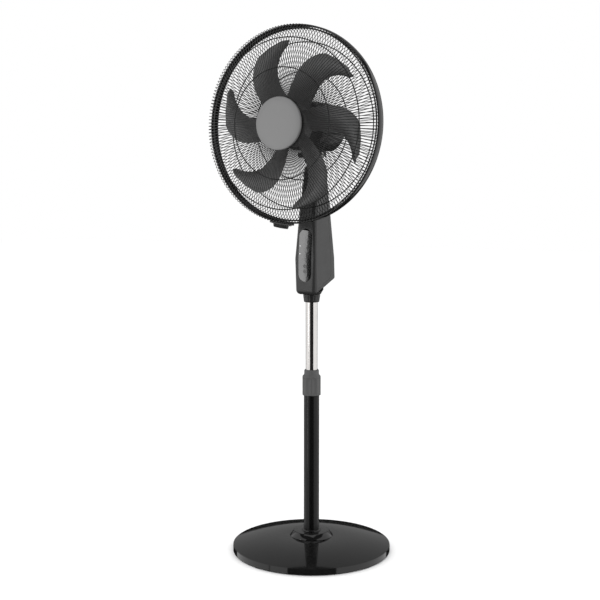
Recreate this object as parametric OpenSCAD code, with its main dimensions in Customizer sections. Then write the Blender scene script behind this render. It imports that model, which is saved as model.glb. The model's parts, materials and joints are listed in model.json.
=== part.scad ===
/* [Overall] */
// Height of the blades' axis above the floor
axis_h = 1017; // [950:1:1130]
// Outer diameter of the guard ring
guard_d = 450; // [420:1:560]
// Diameter of the round base
base_d = 380; // [300:1:480]

/* [Base] */
// Height of the base cover's edge above the floor
rim_z = 1.5; // [1:0.5:3]
// Height where the base cover's dome starts
rim_h = 16; // [14:1:24]
// Height of the dome where the collar stands on it
dome_h = 36; // [30:1:50]
// Wall of the base cover and of its collar
cover_wall = 2.5; // [2:0.5:4]
// Diameter of the collar at its foot
collar_d = 104; // [90:1:130]
// Diameter of the collar's flat top
collar_top_d = 82; // [70:1:100]
// Height of the collar
collar_h = 12; // [8:1:20]
// Thickness of the steel ballast plate
ballast_h = 6; // [4:1:10]
// Gap between the ballast plate and the inside of the rim
ballast_gap = 22; // [10:1:40]
// Height of the rubber feet
foot_h = 3; // [2:0.5:5]
// Diameter of a rubber foot
foot_d = 22; // [16:1:30]
// Number of rubber feet
foot_n = 5; // [4:1:8]
// Diameter of the tube's welded foot plate
flange_d = 76; // [66:1:84]
// Thickness of the tube's welded foot plate
flange_h = 4; // [3:1:6]
// Diameter of the bolt circle in the foot plate
bolt_circle_d = 56; // [54:1:58]
// Diameter of the base bolts
bolt_d = 6; // [5:0.5:8]
// Number of base bolts
bolt_n = 4; // [3:1:6]

/* [Column] */
// Outer diameter of the black lower tube
tube_d = 37; // [34:0.5:44]
// Wall of the lower tube
tube_wall = 1.5; // [1:0.1:2]
// Height of the lower tube's top end
tube_top = 381; // [330:1:430]
// Outer diameter of the chrome tube
mast_d = 28; // [22:0.5:28.5]
// Wall of the chrome tube
mast_wall = 1; // [0.8:0.1:1.5]
// How far the chrome tube can rise from where it stands
rise = 112; // [60:1:150]
// Length of the clamp sleeve inside the lower tube
sleeve_in = 41; // [30:1:60]
// Length of the clamp sleeve above the lower tube
sleeve_out = 51; // [44:1:60]
// Outer diameter of the lock collar
lock_d = 44; // [43:0.5:54]
// Height of the lock collar's fluted part
lock_h = 47; // [40:1:56]
// Height of the lock collar's narrow top
lock_cap_h = 14; // [12:1:20]
// Number of flutes round the lock collar
flute_n = 9; // [6:1:14]

/* [Control housing] */
// Height of the housing
neck_h = 308; // [290:1:330]
// Depth of the housing in front of the column's axis
neck_front = 32; // [31:0.5:40]
// Depth of the housing behind the column's axis
neck_back = 65; // [60:1:72]
// Width of the housing near its foot
neck_w = 58; // [52:1:64]
// Width of the housing at its top
neck_top_w = 36; // [34:0.5:44]
// Wall of the housing
neck_wall = 2.2; // [1.6:0.1:3]
// Height of the ribbed nut below the housing
nut_h = 19.5; // [16:0.5:24]
// Outer diameter of the ribbed nut at its top
nut_d = 41; // [40:0.5:48]
// Width of the control panel
panel_w = 35; // [30:0.5:38]
// Height of the control panel
panel_h = 124; // [110:1:130]
// Diameter of the push buttons
button_d = 8; // [6:0.5:9]
// Travel of the push buttons
button_travel = 1; // [0.5:0.1:1]

/* [Tilt and swing] */
// Height of the tilt axis above the housing's top
tilt_up = 21; // [20:0.5:28]
// Distance of the tilt axis behind the column's axis
tilt_back = 4; // [2:0.5:6]
// Height of the blades' axis above the tilt axis
head_up = 64; // [64:0.5:80]
// Distance of the swing post behind the column's axis
post_back = 22; // [21:0.5:24]
// Diameter of the swing post
post_d = 10; // [8:0.5:12]
// Diameter of the tilt bolt
axle_d = 8; // [6:0.5:9]
// Diameter of the tilt knob
knob_d = 13; // [12:0.5:18]
// Length of the tilt knob
knob_l = 14; // [10:0.5:18]

/* [Motor] */
// Diameter of the motor cover
motor_d = 120; // [116:1:130]
// Distance from the motor's axis to the flat under its cover
motor_flat = 54; // [53:0.5:54]
// Distance of the motor cover's front ahead of the column's axis
motor_front = 50; // [48:1:54]
// Distance of the motor cover's back behind the column's axis
motor_back = 78; // [76:1:90]
// Wall of the motor cover
motor_wall = 2.5; // [2:0.1:3]
// Diameter of the stator's core
stator_d = 88; // [80:1:92]
// Diameter of the rotor
rotor_d = 48; // [40:1:52]
// Diameter of the motor shaft
shaft_d = 8; // [6:0.5:10]

/* [Blades] */
// Diameter of the circle swept by the blades
blade_d = 380; // [340:1:390]
// Number of blades
blade_n = 6; // [3:1:7]
// Diameter of the hub
hub_d = 100; // [92:1:106]
// Thickness of a blade
blade_t = 2.2; // [1.8:0.1:3]
// Distance of the blades ahead of the column's axis
blade_fwd = 95.5; // [94:0.5:98]

/* [Guard] */
// Width of the guard ring's band
ring_w = 25; // [22:1:30]
// Thickness of the guard ring's band
ring_t = 4; // [3:0.5:6]
// Distance of the ring's front edge ahead of the column's axis
ring_fwd = 93; // [92:0.5:96]
// Thickness of the guard wires
wire_t = 2.4; // [2:0.1:3]
// Number of wires in each half of the guard
wire_n = 36; // [24:1:48]
// Diameter of the plain disc at the guard's centre
badge_d = 119; // [112:1:126]
// Distance of the disc's front ahead of the ring's front edge
badge_fwd = 56; // [54:0.5:60]

/* [Hidden] */

$fn = 48;
eps = 0.01;
run_fit = 0.05;   // radial clearance of a shaft in its bearing
free_gap = 0.3;   // clearance between pieces that only pass each other
seat_gap = 0.1;   // clearance between pieces that are fixed together

// ---- heights, from the floor up ----
tilt_z = axis_h - head_up;
neck_top = tilt_z - tilt_up;
neck_bot = neck_top - neck_h;
nut_bot = neck_bot - nut_h;
flange_z = foot_h + ballast_h;
tube_bot = flange_z + flange_h;
tube_r = tube_d / 2;
bore_r = tube_r - tube_wall;
mast_r = mast_d / 2;
sleeve_bot = tube_top - sleeve_in;
sleeve_top = tube_top + sleeve_out;
lock_top = tube_top + lock_h + lock_cap_h;
stop_h = 12;
mast_bot = sleeve_bot - rise;
collar_top = dome_h + collar_h;

// ---- the base ----
base_r = base_d / 2;
ballast_r = base_r - ballast_gap;
feet_r = ballast_r - foot_d;
dome_r = collar_d / 2;
dome_n = 14;
bolt_head_h = 3;
bolt_clear = 0.4;
tube_hole_r = tube_r + 0.5;

// A dome that rises gently from the rim's edge and flattens towards the collar
function dome(i, inset) = let (t = 1 - i / dome_n)
    [dome_r + (base_r - dome_r - inset) * t, rim_h + (dome_h - rim_h) * (1 - t * t) - inset];

module spin_solid(points) {
    rotate_extrude($fn = 96) polygon(points);
}

module tube(z, h, ro, ri) {
    translate([0, 0, z]) difference() {
        cylinder(h = h, r = ro);
        translate([0, 0, -eps]) cylinder(h = h + 2 * eps, r = ri);
    }
}

module ring_of(n, r, turn = 0) {
    for (i = [0:n - 1]) rotate([0, 0, turn + 360 * i / n]) translate([r, 0, 0]) children();
}

module base_cover() {
    color("#141414")
    spin_solid(concat(
        [[base_r - cover_wall, rim_z], [base_r, rim_z]],
        [for (i = [0:dome_n]) dome(i, 0)],
        [[tube_hole_r, dome_h], [tube_hole_r, dome_h - cover_wall]],
        [for (i = [dome_n:-1:0]) dome(i, cover_wall)]));
}

module ballast_plate() {
    color("#4a4a4a") difference() {
        translate([0, 0, foot_h]) cylinder(h = ballast_h, r = ballast_r);
        translate([0, 0, foot_h]) ring_of(bolt_n, bolt_circle_d / 2) {
            translate([0, 0, -eps]) cylinder(h = ballast_h + 1, r = bolt_d / 2 + bolt_clear);
            translate([0, 0, -eps]) cylinder(h = bolt_head_h + eps, r = bolt_d + bolt_clear);
        }
    }
}

module rubber_feet() {
    color("#202020") ring_of(foot_n, feet_r, 90) cylinder(h = foot_h, d = foot_d);
}

module tube_foot() {
    color("#505050") difference() {
        translate([0, 0, flange_z]) cylinder(h = flange_h, d = flange_d);
        translate([0, 0, flange_z - 1])
            ring_of(bolt_n, bolt_circle_d / 2) cylinder(h = flange_h + 2, r = bolt_d / 2 + seat_gap);
    }
}

module base_bolts() {
    color("#8a8a8a") ring_of(bolt_n, bolt_circle_d / 2) {
        translate([0, 0, foot_h + 0.2]) cylinder(h = bolt_head_h - 0.2, r = bolt_d - 0.5, $fn = 6);
        translate([0, 0, foot_h + bolt_head_h - eps])
            cylinder(h = ballast_h - bolt_head_h + flange_h + 3, d = bolt_d);
    }
}

module base_collar() {
    ro = collar_d / 2;
    rt = collar_top_d / 2;
    color("#161616")
    spin_solid([
        [ro - 2 * cover_wall, dome_h], [ro, dome_h], [ro, dome_h + 1], [rt + 1, collar_top - 0.8],
        [rt, collar_top], [tube_hole_r, collar_top], [tube_hole_r, collar_top - cover_wall],
        [rt - cover_wall, collar_top - cover_wall]]);
}

module collar_ring() {
    color("#101010")
    spin_solid([
        [tube_r + seat_gap, collar_top], [tube_r + 4, collar_top], [tube_r + 4, collar_top + 2],
        [tube_r + 2.5, collar_top + 3.5], [tube_r + seat_gap, collar_top + 3.5]]);
}

module lower_tube() {
    color("#0f0f0f") tube(tube_bot, tube_top - tube_bot, tube_r, bore_r);
}

// ---- height lock ----
sleeve_r = tube_r - 1;
sleeve_tip_r = mast_r + 1.8;
sleeve_step_z = tube_top + lock_h - 8;
slit_w = 2;
slit_n = 4;

module clamp_sleeve() {
    color("#3a3a3a") difference() {
        spin_solid([
            [mast_r + run_fit, sleeve_bot], [bore_r - seat_gap, sleeve_bot],
            [bore_r - seat_gap, tube_top], [tube_r, tube_top], [tube_r, tube_top + 2],
            [sleeve_r, tube_top + 2], [sleeve_r, sleeve_step_z], [sleeve_tip_r, sleeve_top],
            [mast_r + run_fit, sleeve_top]]);
        for (i = [0:slit_n - 1]) rotate([0, 0, 45 + i * 360 / slit_n])
            translate([0, -slit_w / 2, tube_top + 12]) cube([tube_d, slit_w, sleeve_out]);
    }
}

lock_r = lock_d / 2;
lock_cap_r = tube_r - 1;
lock_shoulder = tube_top + lock_h;
flute_r = 5;
flute_depth = 0.9;

module lock_collar() {
    top_bore = mast_r + free_gap + 0.1;
    color("#4d4d4d") difference() {
        spin_solid([
            [tube_r + free_gap, tube_top - 0.5], [lock_r - 0.8, tube_top - 0.5],
            [lock_r, tube_top + 0.5], [lock_r, lock_shoulder - 1.2], [lock_r - 1.2, lock_shoulder],
            [lock_cap_r + 0.8, lock_shoulder + 1], [lock_cap_r, lock_top - 2],
            [lock_cap_r - 1.5, lock_top], [top_bore, lock_top],
            [top_bore, sleeve_top + 1], [sleeve_tip_r + free_gap, sleeve_top + free_gap],
            [sleeve_r + 2 * free_gap, sleeve_step_z], [sleeve_r + 2 * free_gap, tube_top + 2.4],
            [tube_r + free_gap, tube_top + 2.4]]);
        ring_of(flute_n, lock_r + flute_r - flute_depth)
            translate([0, 0, tube_top + 4]) cylinder(h = lock_h - 8, r = flute_r);
    }
}

module mast_tube() {
    color("#d9d9d9") tube(mast_bot, neck_bot + mast_in - mast_bot, mast_r, mast_r - mast_wall);
}

module mast_stop() {
    stop_r = bore_r - 0.5;
    color("#2a2a2a") difference() {
        union() {
            translate([0, 0, mast_bot - stop_h]) cylinder(h = stop_h - seat_gap, r = stop_r);
            translate([0, 0, mast_bot - stop_h])
                cylinder(h = stop_h + 8, r = mast_r - mast_wall - seat_gap);
        }
        translate([0, 0, mast_bot - stop_h - 1]) cylinder(h = stop_h + 10, r = mast_r - 5);
    }
}

// ---- the socket under the housing and its nut ----
spigot_r = mast_r + 2.5;
nut_r = nut_d / 2;
nut_foot_r = nut_r - 2;
nut_lip = 4.5;
socket_r = nut_r + 1.5;
flare_r = socket_r + 6;
flare_z = neck_bot + 10.5;
flare_h = 8;
socket_top = 18.5;
socket_h = 36;
mast_in = 66;
rib_n = 18;

module tube_socket() {
    color("#171717") {
        spin_solid([
            [mast_r + seat_gap, nut_bot + nut_lip + 1], [spigot_r, nut_bot + nut_lip + 1],
            [spigot_r, neck_bot + 0.2], [socket_r, neck_bot + 0.2],
            [socket_r, neck_bot + socket_top], [spigot_r + 3, neck_bot + socket_top],
            [spigot_r + 3, neck_bot + socket_h], [mast_r + seat_gap, neck_bot + socket_h]]);
        intersection() {
            spin_solid([
                [socket_r - 2, neck_bot + 0.2], [socket_r, neck_bot + 0.2], [flare_r, flare_z],
                [flare_r, flare_z + flare_h], [socket_r - 2, flare_z + flare_h]]);
            side_prism([
                [foot_y, neck_bot - 5], [flare_r + 5, neck_bot - 5],
                [flare_r + 5, bottom_at(flare_r + 5) - seat_gap],
                [foot_y, bottom_at(foot_y) - seat_gap]]);
        }
    }
}

module neck_nut() {
    nut_top = neck_bot - 0.2;
    color("#1b1b1b") difference() {
        spin_solid([
            [mast_r + free_gap, nut_bot], [nut_foot_r - 2, nut_bot], [nut_foot_r, nut_bot + 2.5],
            [nut_r, nut_top], [spigot_r + free_gap, nut_top],
            [spigot_r + free_gap, nut_bot + nut_lip], [mast_r + free_gap, nut_bot + nut_lip]]);
        for (i = [0:rib_n - 1]) rotate([0, 0, i * 360 / rib_n])
            translate([nut_r + 0.4, 0, nut_bot + 4]) cylinder(h = nut_h - 6, r = 1.2);
    }
}

// ---- the control housing ----
// Corner balls of the housing, each [depth, height, half width, radius].
// Depth is positive behind the column's axis.
half_w = neck_w / 2;
half_top = neck_top_w / 2;
top_front = 9;
top_back = 46;
knee_z = neck_bot + 84;
waist_z = neck_bot + 176;
heel_z = neck_bot + 32;
side_lean = (half_w - half_top) / (neck_top - knee_z);
function half_at(z) = half_w - side_lean * max(0, z - knee_z);
// Where the back of the housing lies at a height, above its knee and down to its heel
heel_r = 6;
knee_back = neck_back - 2.8;
upper_slope = (knee_back - top_back) / (neck_top - 12 - knee_z);
lower_slope = (neck_back - knee_back) / (knee_z - heel_z - heel_r);
function back_at(z) = z > knee_z ? knee_back - upper_slope * (z - knee_z) :
    neck_back - lower_slope * max(0, z - heel_z - heel_r);
// Where the front of the housing lies at a height up to its waist
front_slope = 6 / (waist_z - knee_z);
function front_at(z) = front_slope * max(0, z - knee_z) - neck_front;
foot_r = 11;
corner_balls = [
    [foot_r - neck_front, neck_bot + foot_r, half_w - 0.6, foot_r],
    [6.6 - neck_front, knee_z, half_w, 7],
    [front_at(waist_z) + 10, waist_z, half_at(waist_z), 10],
    [8 - top_front, neck_top - 12, half_top, 8],
    [top_back - 12, neck_top - 12, half_top, 12],
    [knee_back - 7, knee_z, half_w, 7],
    [neck_back - heel_r, heel_z + heel_r, half_w - 0.6, heel_r]
];

module neck_body(inset) {
    hull() for (c = corner_balls, side = [-1, 1])
        translate([side * (c[2] - c[3]), c[0], c[1]]) sphere(r = c[3] - inset, $fn = 24);
}

// A prism across the housing, whose side is an outline of depths and heights
module side_prism(outline) {
    rotate([90, 0, 90]) translate([0, 0, -neck_w]) linear_extrude(height = 2 * neck_w)
        polygon(outline);
}

// The housing's bottom slopes up from its front corner to its heel
foot_y = foot_r - neck_front;
heel_run = neck_back - heel_r - foot_y;
heel_rise = heel_z + heel_r - neck_bot - foot_r;
bottom_tilt = atan2(heel_rise, heel_run) + asin((foot_r - heel_r) / norm([heel_run, heel_rise]));
function bottom_at(y) =
    neck_bot + foot_r + (y - foot_y) * tan(bottom_tilt) - foot_r / cos(bottom_tilt);

// Everything behind and below the line where the two halves of the housing meet
seam_top = 15;
seam_low = 23;
seam_up = 14;
module rear_zone(gap) {
    far = neck_back + 30;
    seam_y = neck_back - seam_low;
    seam_end = foot_y + 4;
    side_prism([
        [top_back - seam_top + gap, neck_top + 20], [seam_y + gap, heel_z + 15],
        [seam_y - 4 + gap, bottom_at(seam_y - 4) + seam_up - gap],
        [seam_end, bottom_at(seam_end) + seam_up - gap], [seam_end - 12, neck_bot - 5],
        [far, neck_bot - 5], [far, neck_top + 20]]);
}

module pill(w, h, y0, y1) {
    translate([0, y1, panel_z]) rotate([90, 0, 0]) linear_extrude(height = y1 - y0) {
        square([w, h - w], center = true);
        for (s = [-1, 1]) translate([0, s * (h - w) / 2]) circle(d = w);
    }
}

panel_z = neck_bot + 93;
lug_w = 26;
lug_r = 7.5;
screw_places = [[-9, knee_z + 4], [9, knee_z + 4], [0, neck_top - 30]];
gland_z = heel_z + 14;
gland_r = 6;

module socket_room(gap) {
    translate([0, 0, neck_bot - 5]) cylinder(h = 5 + socket_top + gap, r = socket_r + gap);
}

module housing_front() {
    color("#3b3b3b") difference() {
        neck_body(0);
        neck_body(neck_wall);
        pill(panel_w + 2 * free_gap, panel_h + 2 * free_gap, -neck_front - 10, 0);
        rear_zone(0);
        socket_room(seat_gap);
        translate([-lug_w / 2 - free_gap, tilt_back - lug_r - free_gap, neck_top - 20])
            cube([lug_w + 2 * free_gap, 2 * (lug_r + free_gap), 40]);
    }
}

module housing_rear() {
    color("#333333") difference() {
        intersection() {
            neck_body(0);
            rear_zone(free_gap);
        }
        neck_body(neck_wall);
        socket_room(seat_gap);
        for (p = screw_places) translate([p[0], back_at(p[1]) + 5, p[1]]) rotate([90, 0, 0])
            cylinder(h = 20, r = 1.6);
        translate([0, neck_back + 5, gland_z]) rotate([90, 0, 0]) cylinder(h = 20, r = gland_r);
    }
}

module housing_screws() {
    color("#6a6a6a") for (p = screw_places)
        translate([p[0], back_at(p[1]) + 0.4, p[1]]) rotate([90, 0, 0]) {
            translate([0, 0, -1.4]) cylinder(h = 1.5, r = 2.8);
            cylinder(h = 12, r = 1.5);
        }
}

module cord_gland() {
    color("#181818") translate([0, neck_back + 0.4, gland_z]) rotate([90, 0, 0]) difference() {
        union() {
            cylinder(h = neck_wall + 5, r = gland_r - seat_gap);
            translate([0, 0, neck_wall + 2.5]) cylinder(h = 2.5, r = gland_r + 2);
        }
        translate([0, 0, -1]) cylinder(h = neck_wall + 8, r = 3.5);
    }
}

// ---- the control panel and what is behind it ----
panel_inset = 0.4;
panel_t = 1.6;
button_low_z = neck_bot + 55.5;
button_pitch = 12;
button_hole_r = button_d / 2 + 0.2;
panel_y = -neck_front + panel_inset;
light_x = -14;
light_z = [neck_bot + 96.5, neck_bot + 115];
light_r = 1.4;

module button_places() {
    for (i = [0, 1]) translate([0, 0, button_low_z + i * button_pitch]) children();
}

module control_panel() {
    color("#2c2c2c") difference() {
        intersection() {
            pill(panel_w, panel_h, -neck_front - 10, 0);
            difference() {
                neck_body(panel_inset);
                neck_body(panel_inset + panel_t);
            }
        }
        button_places() rotate([90, 0, 0])
            cylinder(h = neck_front + 10, r = button_hole_r);
        for (z = light_z) translate([light_x, 0, z]) rotate([90, 0, 0])
            cylinder(h = neck_front + 10, r = light_r + seat_gap);
    }
}

board_y = -neck_front + 12;
board_w = 28;
board_h = 108;
switch_h = 3.2;

module push_button(z) {
    stem = board_y - switch_h - button_travel - 0.4;
    color("#8d8d8d") translate([0, stem, z]) rotate([90, 0, 0]) {
        cylinder(h = stem - panel_y + 0.8, d = button_d);
        translate([0, 0, stem - panel_y - panel_t - button_travel - 1.3])
            cylinder(h = 1.1, d = button_d + 2);
    }
}

module power_button() { push_button(button_low_z + button_pitch); }
module mode_button() { push_button(button_low_z); }

module control_board() {
    color("#1f5a34") translate([-board_w / 2, board_y, panel_z - board_h / 2])
        cube([board_w, 1.6, board_h]);
}

module board_switches() {
    color("#c0c0c0") button_places() {
        translate([-3, board_y - switch_h + 1, -3]) cube([6, switch_h - 1, 6]);
        translate([0, board_y, 0]) rotate([90, 0, 0]) cylinder(h = switch_h, r = 1.75);
    }
}

module indicator_lights() {
    lens = 5.5;
    color("#e8e8e8") for (z = light_z)
        translate([light_x, front_at(z) + panel_inset + lens - 0.3, z])
            rotate([90, 0, 0]) cylinder(h = lens, r = light_r);
}

// ---- tilt joint ----
axle_r = axle_d / 2;
cheek_in = lug_w / 2 + free_gap;
cheek_out = 21;
cheek_r = 9;
deck_bot = tilt_z - 4;
deck_top = axis_h - motor_flat - 1;
bridge_y = tilt_back + lug_r + 3.5;
table_r = 18;
table_bot = tilt_z + lug_r + 0.7;
table_top = deck_top + 4;
boss_top = table_top + 0.6;
post_r = post_d / 2;

module at_tilt() {
    translate([0, tilt_back, tilt_z]) rotate([0, 90, 0]) children();
}

module neck_lug() {
    plate_z = neck_top - 22;
    color("#262626") difference() {
        union() {
            at_tilt() translate([0, 0, -lug_w / 2]) cylinder(h = lug_w, r = lug_r);
            translate([-lug_w / 2, tilt_back - lug_r, plate_z])
                cube([lug_w, 2 * lug_r, tilt_z - plate_z]);
            translate([-lug_w / 2, tilt_back - lug_r + 4, plate_z]) cube([lug_w, 34, 5]);
        }
        at_tilt() translate([0, 0, -lug_w]) cylinder(h = 2 * lug_w, r = axle_r + run_fit);
        translate([-7, tilt_back - lug_r + 3, plate_z - 1])
            cube([14, 2 * lug_r - 6, tilt_z - plate_z - axle_r - 5]);
    }
}

module tilt_bracket() {
    color("#202020") difference() {
        union() {
            for (s = [-1, 1]) {
                lo = s > 0 ? cheek_in : -cheek_out;
                at_tilt() translate([0, 0, lo]) cylinder(h = cheek_out - cheek_in, r = cheek_r);
                translate([lo, tilt_back, deck_bot])
                    cube([cheek_out - cheek_in, post_back - tilt_back, deck_top - deck_bot]);
            }
            translate([-cheek_out, bridge_y, deck_bot])
                cube([2 * cheek_out, post_back + 10 - bridge_y, deck_top - deck_bot]);
            translate([0, post_back, table_bot]) cylinder(h = table_top - table_bot, r = table_r);
            translate([0, post_back, deck_bot]) cylinder(h = boss_top - deck_bot, r = post_r + 2.5);
            translate([rocker_r, post_back, deck_top]) cylinder(h = link_top + 1 - deck_top, r = pin_r);
        }
        at_tilt() translate([0, 0, -2 * cheek_out]) cylinder(h = 4 * cheek_out, r = axle_r + run_fit);
        translate([0, post_back, deck_bot - 1]) cylinder(h = 60, r = post_r + seat_gap);
    }
}

module tilt_bolt() {
    color("#9a9a9a") at_tilt() difference() {
        union() {
            translate([0, 0, -cheek_out - knob_l + 3])
                cylinder(h = 2 * cheek_out + knob_l - 2, r = axle_r);
            translate([0, 0, cheek_out + seat_gap]) cylinder(h = 4, r = axle_r + 3);
        }
        translate([0, 0, cheek_out + 2.5]) cylinder(h = 4, r = 2.5, $fn = 6);
    }
}

module tilt_knob() {
    color("#151515") at_tilt() translate([0, 0, -cheek_out - 3 - knob_l]) difference() {
        union() {
            cylinder(h = knob_l, r = knob_d / 2 - 1);
            cylinder(h = knob_l - 3, r = knob_d / 2);
        }
        translate([0, 0, 2]) cylinder(h = knob_l, r = axle_r + run_fit);
        ring_of(8, knob_d / 2 + 1.4) translate([0, 0, -1]) cylinder(h = knob_l - 3, r = 2);
    }
}

// ---- swing drive, inside the motor cover ----
pin_r = 1.5;
rocker_r = 15;
crank_r = 10;
crank_y = post_back + 30;
link_bot = table_top + 1;
link_top = link_bot + 3;
crank_bot = link_top + 0.5;
crank_top = crank_bot + 3;
crank_pin_r = 2;
carrier_z = crank_top + 2;
carrier_h = 4;
open_eye_r = 3.4;
eye_shift = 1;
link_w = 4;

module swing_post() {
    color("#b5b5b5") translate([0, post_back, deck_bot])
        cylinder(h = carrier_z + 26 - deck_bot, r = post_r);
}

module swing_bush() {
    color("#e6e0cc") translate([0, post_back, 0]) {
        tube(carrier_z - 0.6, 22.6, post_r + 2, post_r + run_fit);
    }
}

module swing_carrier() {
    plate_y = shield_rear_back + 0.6;
    color("#a8a8a8") difference() {
        union() {
            translate([-15, plate_y, carrier_z]) cube([30, crank_y - plate_y, carrier_h]);
            translate([0, crank_y, carrier_z]) cylinder(h = carrier_h, r = 18);
            translate([0, post_back, carrier_z]) cylinder(h = 22, r = post_r + 5);
            translate([-15, plate_y, carrier_z]) cube([30, 2.5, 24]);
        }
        translate([0, post_back, carrier_z - 1]) cylinder(h = 30, r = post_r + 2 + seat_gap);
        translate([0, crank_y, carrier_z - 1]) cylinder(h = 30, r = 3.5);
    }
}

module swing_motor() {
    color("#b0aca0") translate([0, crank_y, 0]) {
        translate([0, 0, carrier_z + carrier_h + seat_gap]) cylinder(h = 16, r = 17);
        translate([0, 0, crank_top - 2]) cylinder(h = 10, r = 2.5 - run_fit);
    }
}

module swing_crank() {
    color("#d8d2bc") translate([0, crank_y, 0]) difference() {
        union() {
            translate([0, 0, crank_bot]) cylinder(h = crank_top - crank_bot, r = 13);
            translate([crank_r, 0, link_bot - 0.8]) cylinder(h = crank_top - link_bot, r = crank_pin_r);
        }
        translate([0, 0, crank_top - 2.2]) cylinder(h = 4, r = 2.5);
    }
}

module swing_link() {
    dx = rocker_r + eye_shift - crank_r;
    dy = crank_y - post_back;
    far = sqrt(dx * dx + dy * dy);
    turn = -90 + atan(dx / dy);
    color("#c9c9c9") translate([crank_r, crank_y, link_bot]) rotate([0, 0, turn]) difference() {
        union() {
            cylinder(h = link_top - link_bot, r = 4.2);
            translate([0, -link_w / 2, 0]) cube([far, link_w, link_top - link_bot]);
            translate([far, 0, 0]) cylinder(h = link_top - link_bot, r = open_eye_r + 2);
        }
        translate([0, 0, -1]) cylinder(h = 5, r = crank_pin_r + run_fit);
        translate([far, 0, -1]) cylinder(h = 5, r = open_eye_r);
    }
}

// ---- the head: here z runs forward along the blades' axis and y runs up ----
module head() {
    translate([0, 0, axis_h]) rotate([90, 0, 0]) children();
}

motor_r = motor_d / 2;
split_z = 22;
spigot_out = 17;
spigot_in = 10;
shaft_r = shaft_d / 2;
stator_r = stator_d / 2;
rotor_r = rotor_d / 2;
stack_z = 6;
stack_h = 28;
coil_h = 7;
shield_t = 3;
shield_front_z = stack_z + stack_h + coil_h + 0.5;
shield_rear_back = 8;
bearing_r = 9;
bearing_h = 10;
hub_back = blade_fwd - 16;
hub_front = blade_fwd + 18;
guard_centre = ring_fwd + badge_fwd - 9;

module d_shape(r, flat, z0, z1) {
    translate([0, 0, z0]) linear_extrude(height = z1 - z0) intersection() {
        circle(r = r);
        translate([-r, -flat]) square([2 * r, r + flat]);
    }
}

module motor_front_cover() {
    color("#121212") head() difference() {
        union() {
            d_shape(motor_r, motor_flat, split_z + 0.2, motor_front - 3);
            d_shape(motor_r - 3, motor_flat - 1, motor_front - 3.5, motor_front);
            translate([0, 0, motor_front - eps]) cylinder(h = 14, r = spigot_out);
        }
        d_shape(motor_r - motor_wall, motor_flat - motor_wall, split_z - 1, motor_front - motor_wall);
        cylinder(h = motor_front + 20, r = spigot_in);
    }
}

// The inside or outside of the rear cover, flat below and narrowed at the back
back_taper = 23;
cover_screw_r = motor_r - 18;
module rear_bowl(inset, open_end) {
    back = inset - motor_back;
    difference() {
        spin_solid([
            [0, back], [motor_r - 12 - inset, back], [motor_r - inset, back_taper - motor_back],
            [motor_r - inset, split_z + open_end], [0, split_z + open_end]]);
        translate([-motor_r, inset - motor_flat - motor_r, -2 * motor_back])
            cube([2 * motor_r, motor_r, 4 * motor_back]);
    }
}

module motor_rear_cover() {
    color("#111111") head() difference() {
        rear_bowl(0, 0);
        rear_bowl(motor_wall, 5);
        translate([0, -motor_r, -post_back]) rotate([-90, 0, 0]) cylinder(h = 20, r = table_r + 2);
        for (i = [-3:3]) translate([-18, i * 9 - 1.5, -motor_back - 1])
            cube([36, 3, motor_wall + 2]);
        ring_of(3, cover_screw_r, 90) translate([0, 0, -motor_back - 1])
            cylinder(h = motor_wall + 2, r = 1.5 + seat_gap);
    }
}

module motor_cover_screws() {
    color("#7a7a7a") head() ring_of(3, cover_screw_r, 90) translate([0, 0, -motor_back]) {
        translate([0, 0, -1.6 - seat_gap]) cylinder(h = 1.6 + eps, r = 3);
        translate([0, 0, -seat_gap]) cylinder(h = 10, r = 1.5);
    }
}

module shield(z, forward) {
    lip = 6;
    z0 = forward ? z : z - shield_t;
    boss_z = forward ? z - 4 : z - shield_t - 3;
    difference() {
        union() {
            translate([0, 0, z0]) cylinder(h = shield_t, r = stator_r);
            translate([0, 0, boss_z]) cylinder(h = bearing_h, r = bearing_r + 3);
        }
        translate([0, 0, boss_z - 1]) cylinder(h = bearing_h + 2, r = bearing_r);
        ring_of(8, stator_r - 14, 22.5) translate([0, 0, z - 10]) cylinder(h = 20, r = lip);
    }
}

module front_shield() { color("#b8b8b8") head() shield(shield_front_z, true); }
module rear_shield() { color("#b8b8b8") head() shield(-shield_rear_back + shield_t, false); }

module bearing(z) {
    color("#b08d57") head() tube(z, bearing_h, bearing_r - seat_gap, shaft_r + run_fit);
}
module front_bearing() { bearing(shield_front_z - 4); }
module rear_bearing() { bearing(-shield_rear_back - 3); }

module stator_core() {
    color("#6f6f73") head() difference() {
        translate([0, 0, stack_z]) cylinder(h = stack_h, r = stator_r);
        translate([0, 0, stack_z - 1]) cylinder(h = stack_h + 2, r = rotor_r + 0.4);
        ring_of(4, stator_r - 4, 45) translate([0, 0, stack_z - 1]) cylinder(h = stack_h + 2, r = 2);
    }
}

module stator_windings() {
    color("#b8672c") head() {
        tube(stack_z + stack_h + seat_gap, coil_h - 0.4, rotor_r + 14, rotor_r + 2);
        tube(stack_z - coil_h + 0.3, coil_h - 0.4, rotor_r + 14, rotor_r + 2);
    }
}

module rotor() {
    color("#8c8c90") head() tube(stack_z, stack_h, rotor_r, shaft_r + eps);
}

pin_z = hub_back + 3;
module motor_shaft() {
    color("#cfcfcf") head() difference() {
        translate([0, 0, -shield_rear_back - 5])
            cylinder(h = hub_front + 8 + shield_rear_back + 5, r = shaft_r);
        translate([-10, 0, pin_z]) rotate([0, 90, 0]) cylinder(h = 20, r = 1.5);
    }
}

module drive_pin() {
    color("#dddddd") head() translate([-8, 0, pin_z]) rotate([0, 90, 0]) cylinder(h = 16, r = 1.45);
}

// ---- blades ----
blade_r = blade_d / 2;
hub_r = hub_d / 2;
hub_wall = 2.5;
span_n = 12;
chord_n = 4;
root_r = hub_r - 2;
span = blade_r - root_r;

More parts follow.
